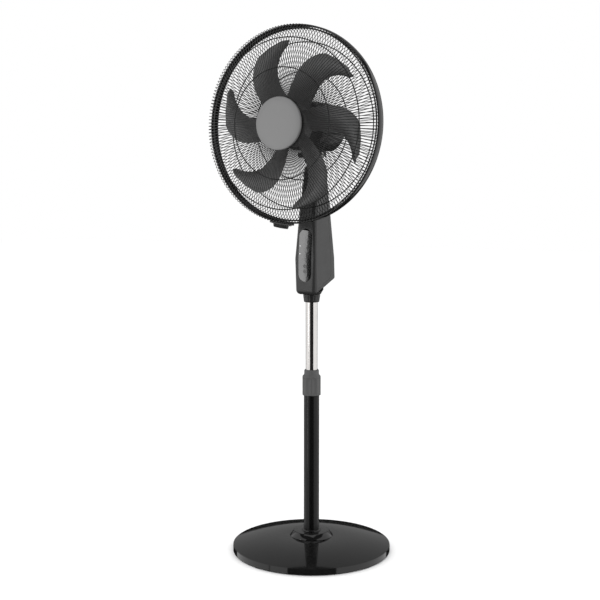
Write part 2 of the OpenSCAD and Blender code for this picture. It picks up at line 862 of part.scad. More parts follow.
// Angles of the blade's convex edge and of its hollow edge at a share u of the span, both
// drawn together at the tip, and the pitch, which fades from the root to nothing at the tip
function outer_edge(u) =
    66 - 56 * u + 74 * pow(u, 2) - 61 * pow(u, 3) - 190 * max(0, u - 0.92);
function inner_edge(u) =
    12 + 43.5 * u - 53 * pow(u, 2) - 5.5 * pow(u, 3) + 60 * max(0, u - 0.93);
function pitch_at(u) = 36 * (1 - u);
// A point of the blade's middle surface, u along the span and v across it
function blade_point(u, v, lift) = let (
    r = root_r + span * u,
    hi = outer_edge(u),
    lo = inner_edge(u),
    a = lo + (hi - lo) * v,
    mid = (hi + lo) / 2,
    arc = r * (a - mid) * PI / 180
) [r * cos(a), r * sin(a), blade_fwd + arc * tan(pitch_at(u)) + lift + 5 * sin(180 * v) - 3];

module blade() {
    cols = chord_n + 1;
    rows = span_n + 1;
    half = rows * cols;
    top = [for (i = [0:span_n], j = [0:chord_n]) blade_point(i / span_n, j / chord_n, blade_t / 2)];
    low = [for (i = [0:span_n], j = [0:chord_n]) blade_point(i / span_n, j / chord_n, -blade_t / 2)];
    quads = [for (i = [0:span_n - 1], j = [0:chord_n - 1])
        [i * cols + j, i * cols + j + 1, (i + 1) * cols + j + 1, (i + 1) * cols + j]];
    faces_top = [for (q = quads) each [[q[0], q[1], q[2]], [q[0], q[2], q[3]]]];
    faces_low = [for (q = quads) each
        [[half + q[0], half + q[2], half + q[1]], [half + q[0], half + q[3], half + q[2]]]];
    rim = concat(
        [for (j = [0:chord_n - 1]) j], [for (i = [0:span_n - 1]) i * cols + chord_n],
        [for (j = [chord_n:-1:1]) span_n * cols + j], [for (i = [span_n:-1:1]) i * cols]);
    n = len(rim);
    side = [for (k = [0:n - 1]) let (p = rim[k], q = rim[(k + 1) % n]) each
        [[p, half + q, q], [p, half + p, half + q]]];
    polyhedron(points = concat(top, low), faces = concat(faces_top, faces_low, side));
}

module hub() {
    difference() {
        spin_solid([
            [shaft_r + seat_gap, hub_back + 2], [12, hub_back + 2], [12, hub_front - hub_wall],
            [hub_r - hub_wall, hub_front - hub_wall - 3], [hub_r - hub_wall, hub_back],
            [hub_r, hub_back], [hub_r, hub_front - 6], [hub_r - 6, hub_front],
            [shaft_r + seat_gap, hub_front]]);
        translate([-9, -1.6, hub_back]) cube([18, 3.2, 4.6]);
    }
}

module fan_blade() {
    color("#3f3f3f") head() {
        hub();
        for (i = [0:blade_n - 1]) rotate([0, 0, -30 + i * 360 / blade_n]) blade();
    }
}

module blade_nut() {
    nut_z = hub_front + 0.1;
    color("#1a1a1a") head() difference() {
        spin_solid([
            [0, nut_z], [16, nut_z], [16, nut_z + 5], [13, nut_z + 7], [11, nut_z + 14],
            [9, nut_z + 16], [0, nut_z + 16]]);
        translate([0, 0, nut_z - 1]) cylinder(h = 10.5, r = shaft_r + seat_gap);
        ring_of(6, 16.6) translate([0, 0, nut_z - 1]) cylinder(h = 9, r = 2);
    }
}

// ---- guards ----
guard_r = guard_d / 2;
edge_r = guard_r - ring_t - wire_t / 2 - 2.2;
front_path = [
    [badge_d / 2 - 6, guard_centre], [guard_r * 0.58, guard_centre - 1],
    [guard_r - 35, guard_centre - 14], [guard_r - 9, guard_centre - 29],
    [guard_r - 1, ring_fwd + 9], [edge_r, ring_fwd - 2]];
front_rings = [[guard_r * 0.58, guard_centre - 1], [guard_r - 35, guard_centre - 14]];
rear_path = [
    [44, motor_front + 1.4], [guard_r * 0.55, motor_front + 0.6], [guard_r - 35, motor_front + 4],
    [guard_r - 11, motor_front + 15], [edge_r, ring_fwd - ring_w + 10]];
rear_rings = [[guard_r * 0.55, motor_front + 0.6], [guard_r - 35, motor_front + 4]];

// A bent wire, straight between the points of its path, turned to its place in the cage
module wire(path, turn) {
    rotate([0, 0, turn]) for (i = [0:len(path) - 2]) hull() {
        translate([path[i][0], 0, path[i][1]]) cube(wire_t, center = true);
        translate([path[i + 1][0], 0, path[i + 1][1]]) cube(wire_t, center = true);
    }
}

module hoop(r, z, n) {
    rotate([0, 0, 180 / n]) rotate_extrude($fn = n)
        translate([r, z]) square(wire_t + 0.3, center = true);
}

module cage(path, rings) {
    for (i = [0:wire_n - 1]) wire(path, i * 360 / wire_n);
    for (p = rings) hoop(p[0], p[1], wire_n);
    hoop(path[len(path) - 1][0], path[len(path) - 1][1], wire_n);
}

module plate_ring(z, h, ro, ri) {
    translate([0, 0, z]) rotate_extrude($fn = wire_n)
        translate([ri, 0]) square([ro - ri, h]);
}

module front_guard() {
    color("#0e0e0e") head() {
        cage(front_path, front_rings);
        plate_ring(guard_centre - 1.5, 3, badge_d / 2 - 3, badge_d / 2 - 12);
    }
}

module rear_guard() {
    color("#0e0e0e") head() {
        cage(rear_path, rear_rings);
        plate_ring(motor_front + 0.3, 2.2, 47, spigot_out + 1);
    }
}

module rear_guard_nut() {
    z = motor_front + 2.9;
    color("#1c1c1c") head() difference() {
        spin_solid([
            [spigot_out + seat_gap, z], [31, z], [31, z + 3], [27, z + 9.5],
            [spigot_out + seat_gap, z + 9.5]]);
        ring_of(12, 32) translate([0, 0, z - 1]) cylinder(h = 8, r = 2.4);
    }
}

module guard_badge() {
    r = badge_d / 2;
    z = guard_centre + 1.8;
    front = ring_fwd + badge_fwd;
    color("#8f8f8f") head()
        spin_solid([[0, z], [r - 2, z], [r, z + 1.5], [r, front - 1.5], [r - 1.5, front], [0, front]]);
}

module guard_ring() {
    back = ring_fwd - ring_w;
    color("#101010") head()
        spin_solid([
            [guard_r - ring_t, back], [guard_r - 2.5, back], [guard_r, back + 10],
            [guard_r, ring_fwd - 1], [guard_r - 1, ring_fwd], [guard_r - ring_t, ring_fwd]]);
}

clip_turn = -98;
clip_half = 7;
clip_screw_turn = 5.8;
clip_lo = ring_fwd - 20;
clip_hi = ring_fwd - 1;
clip_r = guard_r + 0.3;

module sector(half, points) {
    rotate([0, 0, clip_turn - half]) rotate_extrude(angle = 2 * half, $fn = 180) polygon(points);
}

module guard_clip() {
    color("#181818") head() difference() {
        union() {
            sector(clip_half, [
                [clip_r, clip_lo], [clip_r + 4, clip_lo], [clip_r + 4, clip_hi], [clip_r, clip_hi]]);
            sector(clip_half - 2.5, [
                [clip_r + 3, clip_lo + 6], [clip_r + 11, clip_lo + 9], [clip_r + 12.5, clip_lo + 12],
                [clip_r + 11, clip_lo + 15], [clip_r + 3, clip_hi]]);
        }
        rotate([0, 0, clip_turn + clip_screw_turn])
            translate([guard_r - 1, 0, (clip_lo + clip_hi) / 2])
            rotate([0, 90, 0]) cylinder(h = 10, r = 1.5 + seat_gap);
    }
}

module clip_screw() {
    color("#909090") head() rotate([0, 0, clip_turn + clip_screw_turn])
        translate([guard_r + 0.5, 0, (clip_lo + clip_hi) / 2]) rotate([0, 90, 0]) {
            cylinder(h = 4, r = 1.5);
            translate([0, 0, 3.9]) cylinder(h = 1.6, r = 2.8);
        }
}

base_cover();
ballast_plate();
rubber_feet();
tube_foot();
base_bolts();
base_collar();
collar_ring();
lower_tube();
clamp_sleeve();
lock_collar();
mast_tube();
mast_stop();
neck_nut();
tube_socket();
housing_front();
housing_rear();
housing_screws();
cord_gland();
control_panel();
power_button();
mode_button();
control_board();
board_switches();
indicator_lights();
neck_lug();
tilt_bolt();
tilt_knob();
tilt_bracket();
swing_post();
swing_bush();
swing_carrier();
swing_motor();
swing_crank();
swing_link();
motor_front_cover();
motor_rear_cover();
motor_cover_screws();
front_shield();
rear_shield();
stator_core();
stator_windings();
front_bearing();
rear_bearing();
rotor();
motor_shaft();
drive_pin();
fan_blade();
blade_nut();
rear_guard();
rear_guard_nut();
front_guard();
guard_badge();
guard_ring();
guard_clip();
clip_screw();
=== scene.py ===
import json
import math

import bpy
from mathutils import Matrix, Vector

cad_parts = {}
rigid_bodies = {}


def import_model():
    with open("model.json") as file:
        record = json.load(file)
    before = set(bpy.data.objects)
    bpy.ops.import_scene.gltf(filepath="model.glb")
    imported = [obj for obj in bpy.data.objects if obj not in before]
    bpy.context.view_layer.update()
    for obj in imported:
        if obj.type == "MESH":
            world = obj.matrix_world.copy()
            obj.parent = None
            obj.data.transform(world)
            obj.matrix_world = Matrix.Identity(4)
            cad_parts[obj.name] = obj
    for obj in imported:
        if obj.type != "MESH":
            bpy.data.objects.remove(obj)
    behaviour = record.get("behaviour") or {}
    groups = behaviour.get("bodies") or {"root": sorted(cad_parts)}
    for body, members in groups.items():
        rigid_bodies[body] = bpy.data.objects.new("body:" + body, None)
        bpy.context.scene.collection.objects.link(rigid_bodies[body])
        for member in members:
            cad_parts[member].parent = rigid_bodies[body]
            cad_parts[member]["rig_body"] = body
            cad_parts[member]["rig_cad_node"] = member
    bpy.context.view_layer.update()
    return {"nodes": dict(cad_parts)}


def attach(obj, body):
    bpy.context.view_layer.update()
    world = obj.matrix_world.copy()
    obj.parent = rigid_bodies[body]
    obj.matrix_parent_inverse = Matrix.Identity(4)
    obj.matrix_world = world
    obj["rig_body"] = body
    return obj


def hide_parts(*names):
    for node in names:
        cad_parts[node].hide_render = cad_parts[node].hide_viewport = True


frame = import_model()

mm = 0.001

# ---- base cover ----
# The foot of the fan: a wide, low dome of black plastic with a polished skin and an upright rim.
# It is moulded in one piece and drops over the steel plate, a hair clear of the floor.


class Value:
    """A node's output in a finish, to be reckoned with like a number."""

    def __init__(self, finish, socket):
        self.finish = finish
        self.socket = socket

    def reckon(self, operation, first, second):
        return self.finish.node("Math", {"operation": operation}, {0: first, 1: second})

    def __add__(self, other):
        return self.reckon("ADD", self, other)

    def __radd__(self, other):
        return self.reckon("ADD", other, self)

    def __sub__(self, other):
        return self.reckon("SUBTRACT", self, other)

    def __rsub__(self, other):
        return self.reckon("SUBTRACT", other, self)

    def __mul__(self, other):
        return self.reckon("MULTIPLY", self, other)

    def __rmul__(self, other):
        return self.reckon("MULTIPLY", other, self)

    def __pow__(self, other):
        return self.reckon("POWER", self, other)

    def __gt__(self, other):
        return self.reckon("GREATER_THAN", self, other)


class Finish:
    """A material while it is made up: its nodes and the shader that they feed."""

    def __init__(self, name, **constants):
        self.material = bpy.data.materials.new(name)
        self.material.use_nodes = True
        self.tree = self.material.node_tree
        self.shader = self.tree.nodes["Principled BSDF"]
        for socket, value in constants.items():
            self.shader.inputs[socket.replace("_", " ")].default_value = value

    def feed(self, socket, value):
        if isinstance(value, Value):
            self.tree.links.new(value.socket, socket)
        else:
            socket.default_value = value

    def node(self, kind, settings, sockets, output=0):
        made = self.tree.nodes.new("ShaderNode" + kind)
        for name, value in settings.items():
            setattr(made, name, value)
        for key, value in sockets.items():
            self.feed(made.inputs[key], value)
        return Value(self, made.outputs[output])

    def place(self, stretch=(1, 1, 1), middle=(0, 0, 0)):
        """The piece's own coordinates in metres, moved to a middle and stretched."""
        raw = self.node("TexCoord", {}, {}, "Object")
        return self.node("Mapping", {"vector_type": "TEXTURE"}, {
            "Vector": raw,
            "Location": middle,
            "Scale": [1 / s for s in stretch],
        })

    def noise(self, size, where=None, detail=3, roughness=0.55):
        """Cloudy noise whose spots are about size millimetres across, from 0 to 1."""
        return self.node("TexNoise", {}, {
            "Vector": where or self.place(),
            "Scale": 1 / (size * mm),
            "Detail": detail,
            "Roughness": roughness,
        })

    def between(self, low, high, share):
        """A number from low to high as a share goes from 0 to 1."""
        return low + share * (high - low)

    def tint(self, first, second, share):
        """A colour from first to second as a share goes from 0 to 1."""
        return self.node("Mix", {"data_type": "RGBA"}, {0: share, 6: first, 7: second}, 2)

    def bump(self, height, depth, strength=1.0):
        """A bumped surface whose relief is depth millimetres."""
        return self.node("Bump", {}, {
            "Strength": strength,
            "Distance": depth * mm,
            "Height": height,
        })

    def send(self, **varying):
        for socket, value in varying.items():
            self.feed(self.shader.inputs[socket.replace("_", " ")], value)
        return self.material


def grey(level, warm=0.0):
    """A grey paint by its linear level, a little warmer or cooler if asked."""
    return (level * (1 + warm), level, level * (1 - warm), 1)


def polished_black(name, level, rough, specular, scuff=0.25):
    """Black plastic with a polished skin: faint orange peel, dust and hair scratches."""
    f = Finish(name, Specular_IOR_Level=specular, IOR=1.5)
    cloud = f.noise(60, detail=4)
    dust = f.noise(1.6, detail=2) ** 6
    hair = f.noise(5, f.place((1, 14, 1)), detail=2) ** 8
    peel = f.noise(9, detail=1)
    return f.send(
        Base_Color=f.tint(grey(level), grey(level * 1.9 + 0.003), cloud * 0.6 + dust * 2),
        Roughness=f.between(rough, rough * 1.5 + 0.02, cloud) + (dust + hair) * scuff,
        Normal=f.bump(peel, 0.012),
    )


def alone(piece):
    """Selects one piece and nothing else, and makes it the active one."""
    bpy.ops.object.select_all(action="DESELECT")
    piece.select_set(True)
    bpy.context.view_layer.objects.active = piece
    return piece


def begin(name, primitive, **sizes):
    """Adds a primitive with everything else deselected, and settles its place in its mesh."""
    bpy.ops.object.select_all(action="DESELECT")
    primitive(**sizes)
    piece = bpy.context.object
    piece.name = name
    piece.data.name = name
    bpy.ops.object.transform_apply(location=True, rotation=True, scale=True)
    return piece


def draw(points):
    """In edit mode, draws a chain of edges through points given in millimetres."""
    bpy.ops.mesh.select_all(action="SELECT")
    bpy.ops.mesh.merge(type="CENTER")
    bpy.ops.transform.translate(value=Vector(points[0]) * mm)
    for here, there in zip(points, points[1:]):
        step = (Vector(there) - Vector(here)) * mm
        bpy.ops.mesh.extrude_vertices_move(TRANSFORM_OT_translate={"value": step})


def turned(name, outline, steps=96):
    """A turned piece: an outline of (radius, height) in millimetres, spun round the upright."""
    piece = begin(name, bpy.ops.mesh.primitive_plane_add, size=mm)
    bpy.ops.object.mode_set(mode="EDIT")
    draw([(r, 0, z) for r, z in outline])
    bpy.ops.mesh.select_all(action="SELECT")
    bpy.ops.mesh.spin(steps=steps, angle=2 * math.pi, center=(0, 0, 0), axis=(0, 0, 1))
    bpy.ops.mesh.select_all(action="SELECT")
    bpy.ops.mesh.remove_doubles(threshold=0.001 * mm)
    bpy.ops.mesh.normals_make_consistent(inside=False)
    bpy.ops.object.mode_set(mode="OBJECT")
    return piece


def smooth(piece, angle=35):
    alone(piece)
    bpy.ops.object.shade_smooth_by_angle(angle=math.radians(angle))
    return piece


def soften(piece, width, segments=2, limit=40):
    """Rounds the edges sharper than a limit by width millimetres, and shades the rest smooth."""
    alone(piece)
    edge = piece.modifiers.new("edge", "BEVEL")
    edge.width = width * mm
    edge.segments = segments
    edge.limit_method = "ANGLE"
    edge.angle_limit = math.radians(limit)
    bpy.ops.object.modifier_apply(modifier=edge.name)
    return smooth(piece)


def paint(piece, material):
    piece.data.materials.clear()
    piece.data.materials.append(material)
    return piece


base_radius = 190
rim_low = 1.5
rim_high = 16
dome_top = 36
cover_wall = 2.5
collar_radius = 52
dome_rows = 28


def dome(inset):
    """The dome's outline from the rim up to the collar, moved in by the wall for its underside."""
    reach = base_radius - collar_radius - inset
    for row in range(dome_rows + 1):
        share = 1 - row / dome_rows
        rise = (dome_top - rim_high) * (1 - share * share)
        yield (collar_radius + reach * share, rim_high + rise - inset)


base_black = polished_black("base_black", 0.004, 0.05, 0.5)
base_shell = turned("base_shell", [
    (base_radius - cover_wall, rim_low), (base_radius - 0.6, rim_low), (base_radius, rim_low + 0.6),
    *dome(0), (19, dome_top), (19, dome_top - cover_wall), *reversed(list(dome(cover_wall))),
    (base_radius - cover_wall, rim_low)], steps=192)
smooth(base_shell)
paint(base_shell, base_black)
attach(base_shell, "stand")
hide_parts("base_cover")

# ---- collar on the base ----
# A hollow cone with a flat top, moulded in the same black plastic. It hides the bolts of the
# tube's foot plate, and a small round bead closes the gap between it and the tube.
collar_low = 36
collar_high = 48
collar_top_radius = 41
tube_hole = 19
collar_cone = turned("collar_cone", [
    (collar_radius - 5, collar_low), (collar_radius - 0.4, collar_low),
    (collar_radius, collar_low + 0.4), (collar_radius - 0.3, collar_low + 1.3),
    (collar_top_radius + 1.5, collar_high - 1.3), (collar_top_radius + 0.6, collar_high - 0.5),
    (collar_top_radius - 0.4, collar_high - 0.1), (collar_top_radius - 1.6, collar_high),
    (tube_hole, collar_high), (tube_hole, collar_high - 2.5),
    (collar_top_radius - 2.5, collar_high - 2.5), (collar_radius - 5, collar_low)], steps=144)
smooth(collar_cone, 50)
paint(collar_cone, base_black)
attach(collar_cone, "stand")
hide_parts("base_collar")

bead_in = 18.6
bead_out = 22.5
collar_bead = turned("collar_bead", [
    (bead_in, collar_high), (bead_out, collar_high), (bead_out, collar_high + 1.6),
    (bead_out - 0.5, collar_high + 2.6), (bead_out - 1.4, collar_high + 3.3),
    (bead_out - 2.2, collar_high + 3.5), (bead_in, collar_high + 3.5), (bead_in, collar_high)])
smooth(collar_bead, 50)
paint(collar_bead, base_black)
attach(collar_bead, "stand")
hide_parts("collar_ring")

# ---- lower tube ----
# A steel tube, welded to its foot plate and enamelled black. The enamel has sagged a little in
# the oven, so long faint waves run along the tube.
tube_radius = 18.5
tube_bore = 17
tube_low = 13
tube_high = 381
black_tube = turned("black_tube", [
    (tube_bore, tube_low), (tube_radius, tube_low), (tube_radius, tube_high - 0.8),
    (tube_radius - 0.5, tube_high), (tube_bore, tube_high), (tube_bore, tube_low)])
smooth(black_tube)


def enamelled(name, level, rough, specular):
    """Stoved enamel on steel: a thin hard coat with flow waves and fine dust under it."""
    f = Finish(name, Specular_IOR_Level=specular, Coat_Roughness=0.03)
    flow = f.noise(22, f.place((1, 1, 0.12)), detail=2)
    dust = f.noise(1.1, detail=2) ** 5
    cloud = f.noise(45, detail=3)
    return f.send(
        Base_Color=f.tint(grey(level), grey(level * 2), cloud * 0.5 + dust),
        Roughness=f.between(rough, rough * 1.4, cloud) + dust * 0.3,
        Coat_Weight=f.between(0.1, 0.16, flow),
        Normal=f.bump(flow * 0.7 + dust * 0.3, 0.02),
    )


tube_enamel = enamelled("tube_enamel", 0.003, 0.22, 0.22)
paint(black_tube, tube_enamel)
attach(black_tube, "stand")
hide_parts("lower_tube")

# ---- lock collar ----
# The grip that is turned to clamp the chrome tube at a height: charcoal plastic with broad
# flutes for the fingers and a smooth shoulder, moulded with a fine matt grain.


def near(vertex, column, flute, steps, low, high, inner):
    """Whether a point of a turned piece is in a given column of a flute, on the outside."""
    x, y, z = vertex.co / mm
    if not low < z < high or math.hypot(x, y) < inner:
        return False
    place = math.degrees(math.atan2(y, x)) / (360 / steps)
    return abs(abs((place + flute / 2) % flute - flute / 2) - column) < 0.1


def choose(piece, kind, test):
    """Goes into edit mode with only the points, edges or faces selected that pass a test."""
    alone(piece)
    bpy.ops.object.mode_set(mode="EDIT")
    bpy.ops.mesh.select_mode(type=kind)
    bpy.ops.mesh.select_all(action="DESELECT")
    bpy.ops.object.mode_set(mode="OBJECT")
    parts = {"VERT": piece.data.vertices, "EDGE": piece.data.edges, "FACE": piece.data.polygons}
    for part in parts[kind]:
        part.select = test(part)
    bpy.ops.object.mode_set(mode="EDIT")


def flute(piece, count, steps, depth, half, low, high, inner):
    """Presses flutes into a turned piece: half columns each side of a flute's middle, in mm."""
    outer = max(math.hypot(v.co.x, v.co.y) for v in piece.data.vertices) / mm
    for column in range(half):
        sink = depth * (1 - (column / half) ** 2)
        choose(piece, "VERT", lambda v: near(v, column, steps / count, steps, low, high, inner))
        size = 1 - sink / outer
        bpy.ops.transform.resize(value=(size, size, 1), center_override=(0, 0, 0))
        bpy.ops.object.mode_set(mode="OBJECT")
    return piece


lock_radius = 22
lock_low = 380.5
lock_shoulder = 428
lock_high = 442
lock_neck = 17.5
lock_bore = 14.4
flutes = 9
lock_grip = turned("lock_grip", [
    (18.9, lock_low), (lock_radius - 0.8, lock_low), (lock_radius - 0.2, lock_low + 0.3),
    (lock_radius, lock_low + 1), (lock_radius, lock_low + 3.5), (lock_radius, lock_low + 5),
    (lock_radius, lock_shoulder - 9), (lock_radius, lock_shoulder - 6.5),
    (lock_radius, lock_shoulder - 4), (lock_radius - 0.3, lock_shoulder - 2),
    (lock_radius - 1.3, lock_shoulder - 0.4), (lock_neck + 1.4, lock_shoulder + 1.2),
    (lock_neck + 0.4, lock_shoulder + 3.2), (lock_neck + 0.1, lock_high - 2.4),
    (lock_neck - 0.4, lock_high - 1), (lock_neck - 1.6, lock_high), (lock_bore, lock_high),
    (lock_bore, 433), (16.1, 432.4), (18.1, 420), (18.1, 383.4), (18.9, 383.4),
    (18.9, lock_low)], steps=flutes * 16)
flute(lock_grip, flutes, flutes * 16, 1.9, 6, lock_low + 4, lock_shoulder - 5, 19)
smooth(lock_grip, 60)


def grained(name, level, rough, grain=0.5, depth=0.03, warm=0.0, specular=0.4):
    """Moulded plastic with a spark-eroded grain, handled smoother in patches."""
    f = Finish(name, Specular_IOR_Level=specular)
    cells = f.noise(grain, detail=2)
    handled = f.noise(35, detail=3)
    flow = f.noise(120, f.place((1, 1, 0.35)), detail=1)
    return f.send(
        Base_Color=f.tint(grey(level * 0.9, warm), grey(level * 1.12, warm), flow * 0.7 + cells * 0.3),
        Roughness=f.between(rough - 0.07, rough + 0.07, handled) + cells * 0.06,
        Normal=f.bump(cells, depth),
    )


collar_charcoal = grained("collar_charcoal", 0.075, 0.5, grain=0.7)
paint(lock_grip, collar_charcoal)
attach(lock_grip, "lock_collar")
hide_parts("lock_collar")

# ---- chrome mast ----
# The inner tube slides in the clamp and carries everything above it. It is drawn steel with
# bright nickel and chrome over it, so drawing lines and rub marks from the clamp still show.
mast_radius = 14
mast_bore = 13
mast_low = 228
mast_high = 690
chrome_tube = turned("chrome_tube", [
    (mast_bore, mast_low), (mast_radius - 0.3, mast_low), (mast_radius, mast_low + 0.3),
    (mast_radius, mast_high - 0.3), (mast_radius - 0.3, mast_high), (mast_bore, mast_high),
    (mast_bore, mast_low)])
smooth(chrome_tube)


def plated(name, rough):
    """Bright chrome plate on drawn tube, with lengthwise lines and smudges."""
    f = Finish(name, Metallic=1.0)
    lines = f.noise(1.2, f.place((1, 1, 0.02)), detail=2)
    smudge = f.noise(28, detail=4)
    rub = f.noise(7, f.place((1, 1, 0.05)), detail=2) ** 4
    return f.send(
        Base_Color=f.tint((0.80, 0.78, 0.76, 1), (0.70, 0.68, 0.665, 1), smudge),
        Roughness=f.between(rough, rough + 0.05, smudge) + rub * 0.15,
        Normal=f.bump(lines, 0.002),
    )


mast_chrome = plated("mast_chrome_plate", 0.07)
paint(chrome_tube, mast_chrome)
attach(chrome_tube, "mast")
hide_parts("mast_tube")

# ---- nut under the housing ----
# A ribbed nut of black plastic, screwed up onto the socket to lock the housing to the mast.
nut_low = 604.5
nut_high = 623.8
nut_radius = 20.5
nut_foot = 18.5
ribs = 18
ribbed_nut = turned("ribbed_nut", [
    (14.3, nut_low), (nut_foot - 2, nut_low), (nut_foot - 0.8, nut_low + 0.7),
    (nut_foot, nut_low + 2.5), (nut_foot + 0.15, nut_low + 4), (nut_foot + 0.3, nut_low + 5),
    (nut_radius - 0.35, nut_high - 4), (nut_radius - 0.2, nut_high - 2.6),
    (nut_radius, nut_high - 0.6), (nut_radius - 0.5, nut_high), (16.9, nut_high),
    (16.9, nut_low + 4.5), (14.3, nut_low + 4.5), (14.3, nut_low)], steps=ribs * 8)
flute(ribbed_nut, ribs, ribs * 8, 0.8, 3, nut_low + 4.5, nut_high - 3, 17.5)
smooth(ribbed_nut, 60)
satin_black = grained("satin_black", 0.012, 0.34, grain=0.6, depth=0.015, specular=0.5)
paint(ribbed_nut, satin_black)
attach(ribbed_nut, "neck_nut")
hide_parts("neck_nut")

# ---- socket in the housing's foot ----
# A flared black plastic socket takes the end of the mast and carries the housing's two halves.


def rounded_copy(node, name, width, segments=2, limit=35):
    """A CAD piece's own shape with its mesh merged, its flats cleared and its edges rounded."""
    alone(frame["nodes"][node])
    bpy.ops.object.duplicate()
    piece = bpy.context.object
    piece.name = name
    piece.data.name = name
    piece.parent = None
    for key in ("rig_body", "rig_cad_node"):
        del piece[key]
    bpy.ops.object.mode_set(mode="EDIT")
    bpy.ops.mesh.select_all(action="SELECT")
    bpy.ops.mesh.customdata_custom_splitnormals_clear()
    bpy.ops.mesh.remove_doubles(threshold=0.002 * mm)
    bpy.ops.mesh.dissolve_limited(angle_limit=math.radians(0.3))
    bpy.ops.object.mode_set(mode="OBJECT")
    return soften(piece, width, segments, limit)


mast_socket = rounded_copy("tube_socket", "mast_socket", 0.5)
paint(mast_socket, satin_black)
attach(mast_socket, "mast")
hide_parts("tube_socket")

# ---- control housing ----
# A tall box of charcoal plastic that narrows upwards, moulded in a front and a rear half that
# meet in a line near its back. A long rounded opening in the front half takes the glossy panel.
head_z = 1017
tilt_z = head_z - 64
neck_top = tilt_z - 21
foot_z = neck_top - 308
knee_z = foot_z + 84
waist_z = foot_z + 176
heel_z = foot_z + 32
wide = 29
narrow = 18


def half_width(height):
    return wide - (wide - narrow) * max(0, height - knee_z) / (neck_top - knee_z)


def back_at(height):
    """How far behind the column the housing's back is, at a height above its knee."""
    return 62.2 - 16.2 * (height - knee_z) / (neck_top - 12 - knee_z)


def bottom_at(depth):
    """The height of the housing's bottom, which slopes up from its front corner to its heel."""
    return foot_z + 7.64 + depth * 0.405


# The rounded corners: depth behind the column, height, half the width there, and radius
corners = [
    (-21, foot_z + 11, wide - 0.6, 11), (-25.4, knee_z, wide, 7),
    (-16, waist_z, half_width(waist_z), 10), (-1, neck_top - 12, narrow, 8),
    (34, neck_top - 12, narrow, 12), (back_at(knee_z) - 7, knee_z, wide, 7),
    (59, heel_z + 6, wide - 0.6, 6)]


def joined(name, parts):
    """Several meshes made one, in the first of them."""
    bpy.ops.object.select_all(action="DESELECT")
    for part in parts:
        part.select_set(True)
    bpy.context.view_layer.objects.active = parts[0]
    if len(parts) > 1:
        bpy.ops.object.join()
    parts[0].name = name
    parts[0].data.name = name
    return parts[0]


def stretched_over_corners(name, inset):
    """A skin stretched over the rounded corners, moved in by an inset."""
    balls = [
        begin("ball", bpy.ops.mesh.primitive_uv_sphere_add, segments=40, ring_count=20,
              radius=(radius - inset) * mm,
              location=Vector((side * (half - radius), depth, height)) * mm)
        for depth, height, half, radius in corners for side in (-1, 1)]
    skin = joined(name, balls)
    bpy.ops.object.mode_set(mode="EDIT")
    bpy.ops.mesh.select_all(action="SELECT")
    bpy.ops.mesh.convex_hull()
    bpy.ops.mesh.select_all(action="SELECT")
    bpy.ops.mesh.dissolve_limited(angle_limit=math.radians(0.4))
    bpy.ops.object.mode_set(mode="OBJECT")
    return skin


def cut(piece, tool, operation="DIFFERENCE"):
    """Cuts a piece with a tool, or keeps what they share. The tool is used up."""
    alone(piece)
    cutter = piece.modifiers.new("cutter", "BOOLEAN")
    cutter.operation = operation
    cutter.object = tool
    cutter.solver = "EXACT"
    bpy.ops.object.modifier_apply(modifier=cutter.name)
    bpy.data.objects.remove(tool)
    return piece


def copied(piece, name):
    """A copy of a piece with its own mesh."""
    alone(piece)
    bpy.ops.object.duplicate()
    twin = bpy.context.object
    twin.name = name
    twin.data.name = name
    return twin


def evened(piece, angle=35):
    """Smooth shading in which the large flat faces stay flat."""
    smooth(piece, angle)
    even = piece.modifiers.new("even", "WEIGHTED_NORMAL")
    even.keep_sharp = True
    even.weight = 100
    bpy.ops.object.modifier_apply(modifier=even.name)
    return piece


def slab(name, outline, half):
    """A slab as wide as twice half, whose side is an outline of (depth, height)."""
    piece = begin(name, bpy.ops.mesh.primitive_plane_add, size=mm)
    bpy.ops.object.mode_set(mode="EDIT")
    draw([(-half, y, z) for y, z in [*outline, outline[0]]])
    bpy.ops.mesh.select_all(action="SELECT")
    bpy.ops.mesh.remove_doubles(threshold=0.001 * mm)
    bpy.ops.mesh.edge_face_add()
    bpy.ops.mesh.extrude_region_move(TRANSFORM_OT_translate={"value": (2 * half * mm, 0, 0)})
    bpy.ops.mesh.select_all(action="SELECT")
    bpy.ops.mesh.normals_make_consistent(inside=False)
    bpy.ops.object.mode_set(mode="OBJECT")
    return piece


def behind_seam(name, gap):
    """All that is behind the line where the housing's halves meet."""
    return slab(name, [
        (31 + gap, neck_top + 20), (42 + gap, heel_z + 15), (38 + gap, bottom_at(38) + 14 - gap),
        (-17, bottom_at(-17) + 14 - gap), (-29, foot_z - 5), (95, foot_z - 5),
        (95, neck_top + 20)], 58)


panel_z = foot_z + 93
panel_width = 35
panel_height = 124
panel_gap = 0.9


def long_round(name, width, height, front, back):
    """A prism with half-round ends, from a front to a back depth."""
    piece = begin(name, bpy.ops.mesh.primitive_cylinder_add, vertices=72, radius=width / 2 * mm,
                  depth=(back - front) * mm, rotation=(math.pi / 2, 0, 0),
                  location=(0, (front + back) / 2 * mm, panel_z * mm))
    lengthen = (height - width) / 2 * mm
    choose(piece, "VERT", lambda v: v.co.z > (panel_z + 0.01) * mm)
    bpy.ops.transform.translate(value=(0, 0, lengthen))
    bpy.ops.object.mode_set(mode="OBJECT")
    choose(piece, "VERT", lambda v: v.co.z < (panel_z - 0.01) * mm)
    bpy.ops.transform.translate(value=(0, 0, -lengthen))
    bpy.ops.object.mode_set(mode="OBJECT")
    return piece


def round_bar(name, radius, low, high, spin=(0, 0, 0), at=(0, 0, 0), sides=48):
    """A round bar along its own axis from low to high, turned and then put in its place."""
    piece = begin(name, bpy.ops.mesh.primitive_cylinder_add, vertices=sides, radius=radius * mm,
                  depth=(high - low) * mm, location=(0, 0, (low + high) / 2 * mm))
    return put(piece, spin, at)


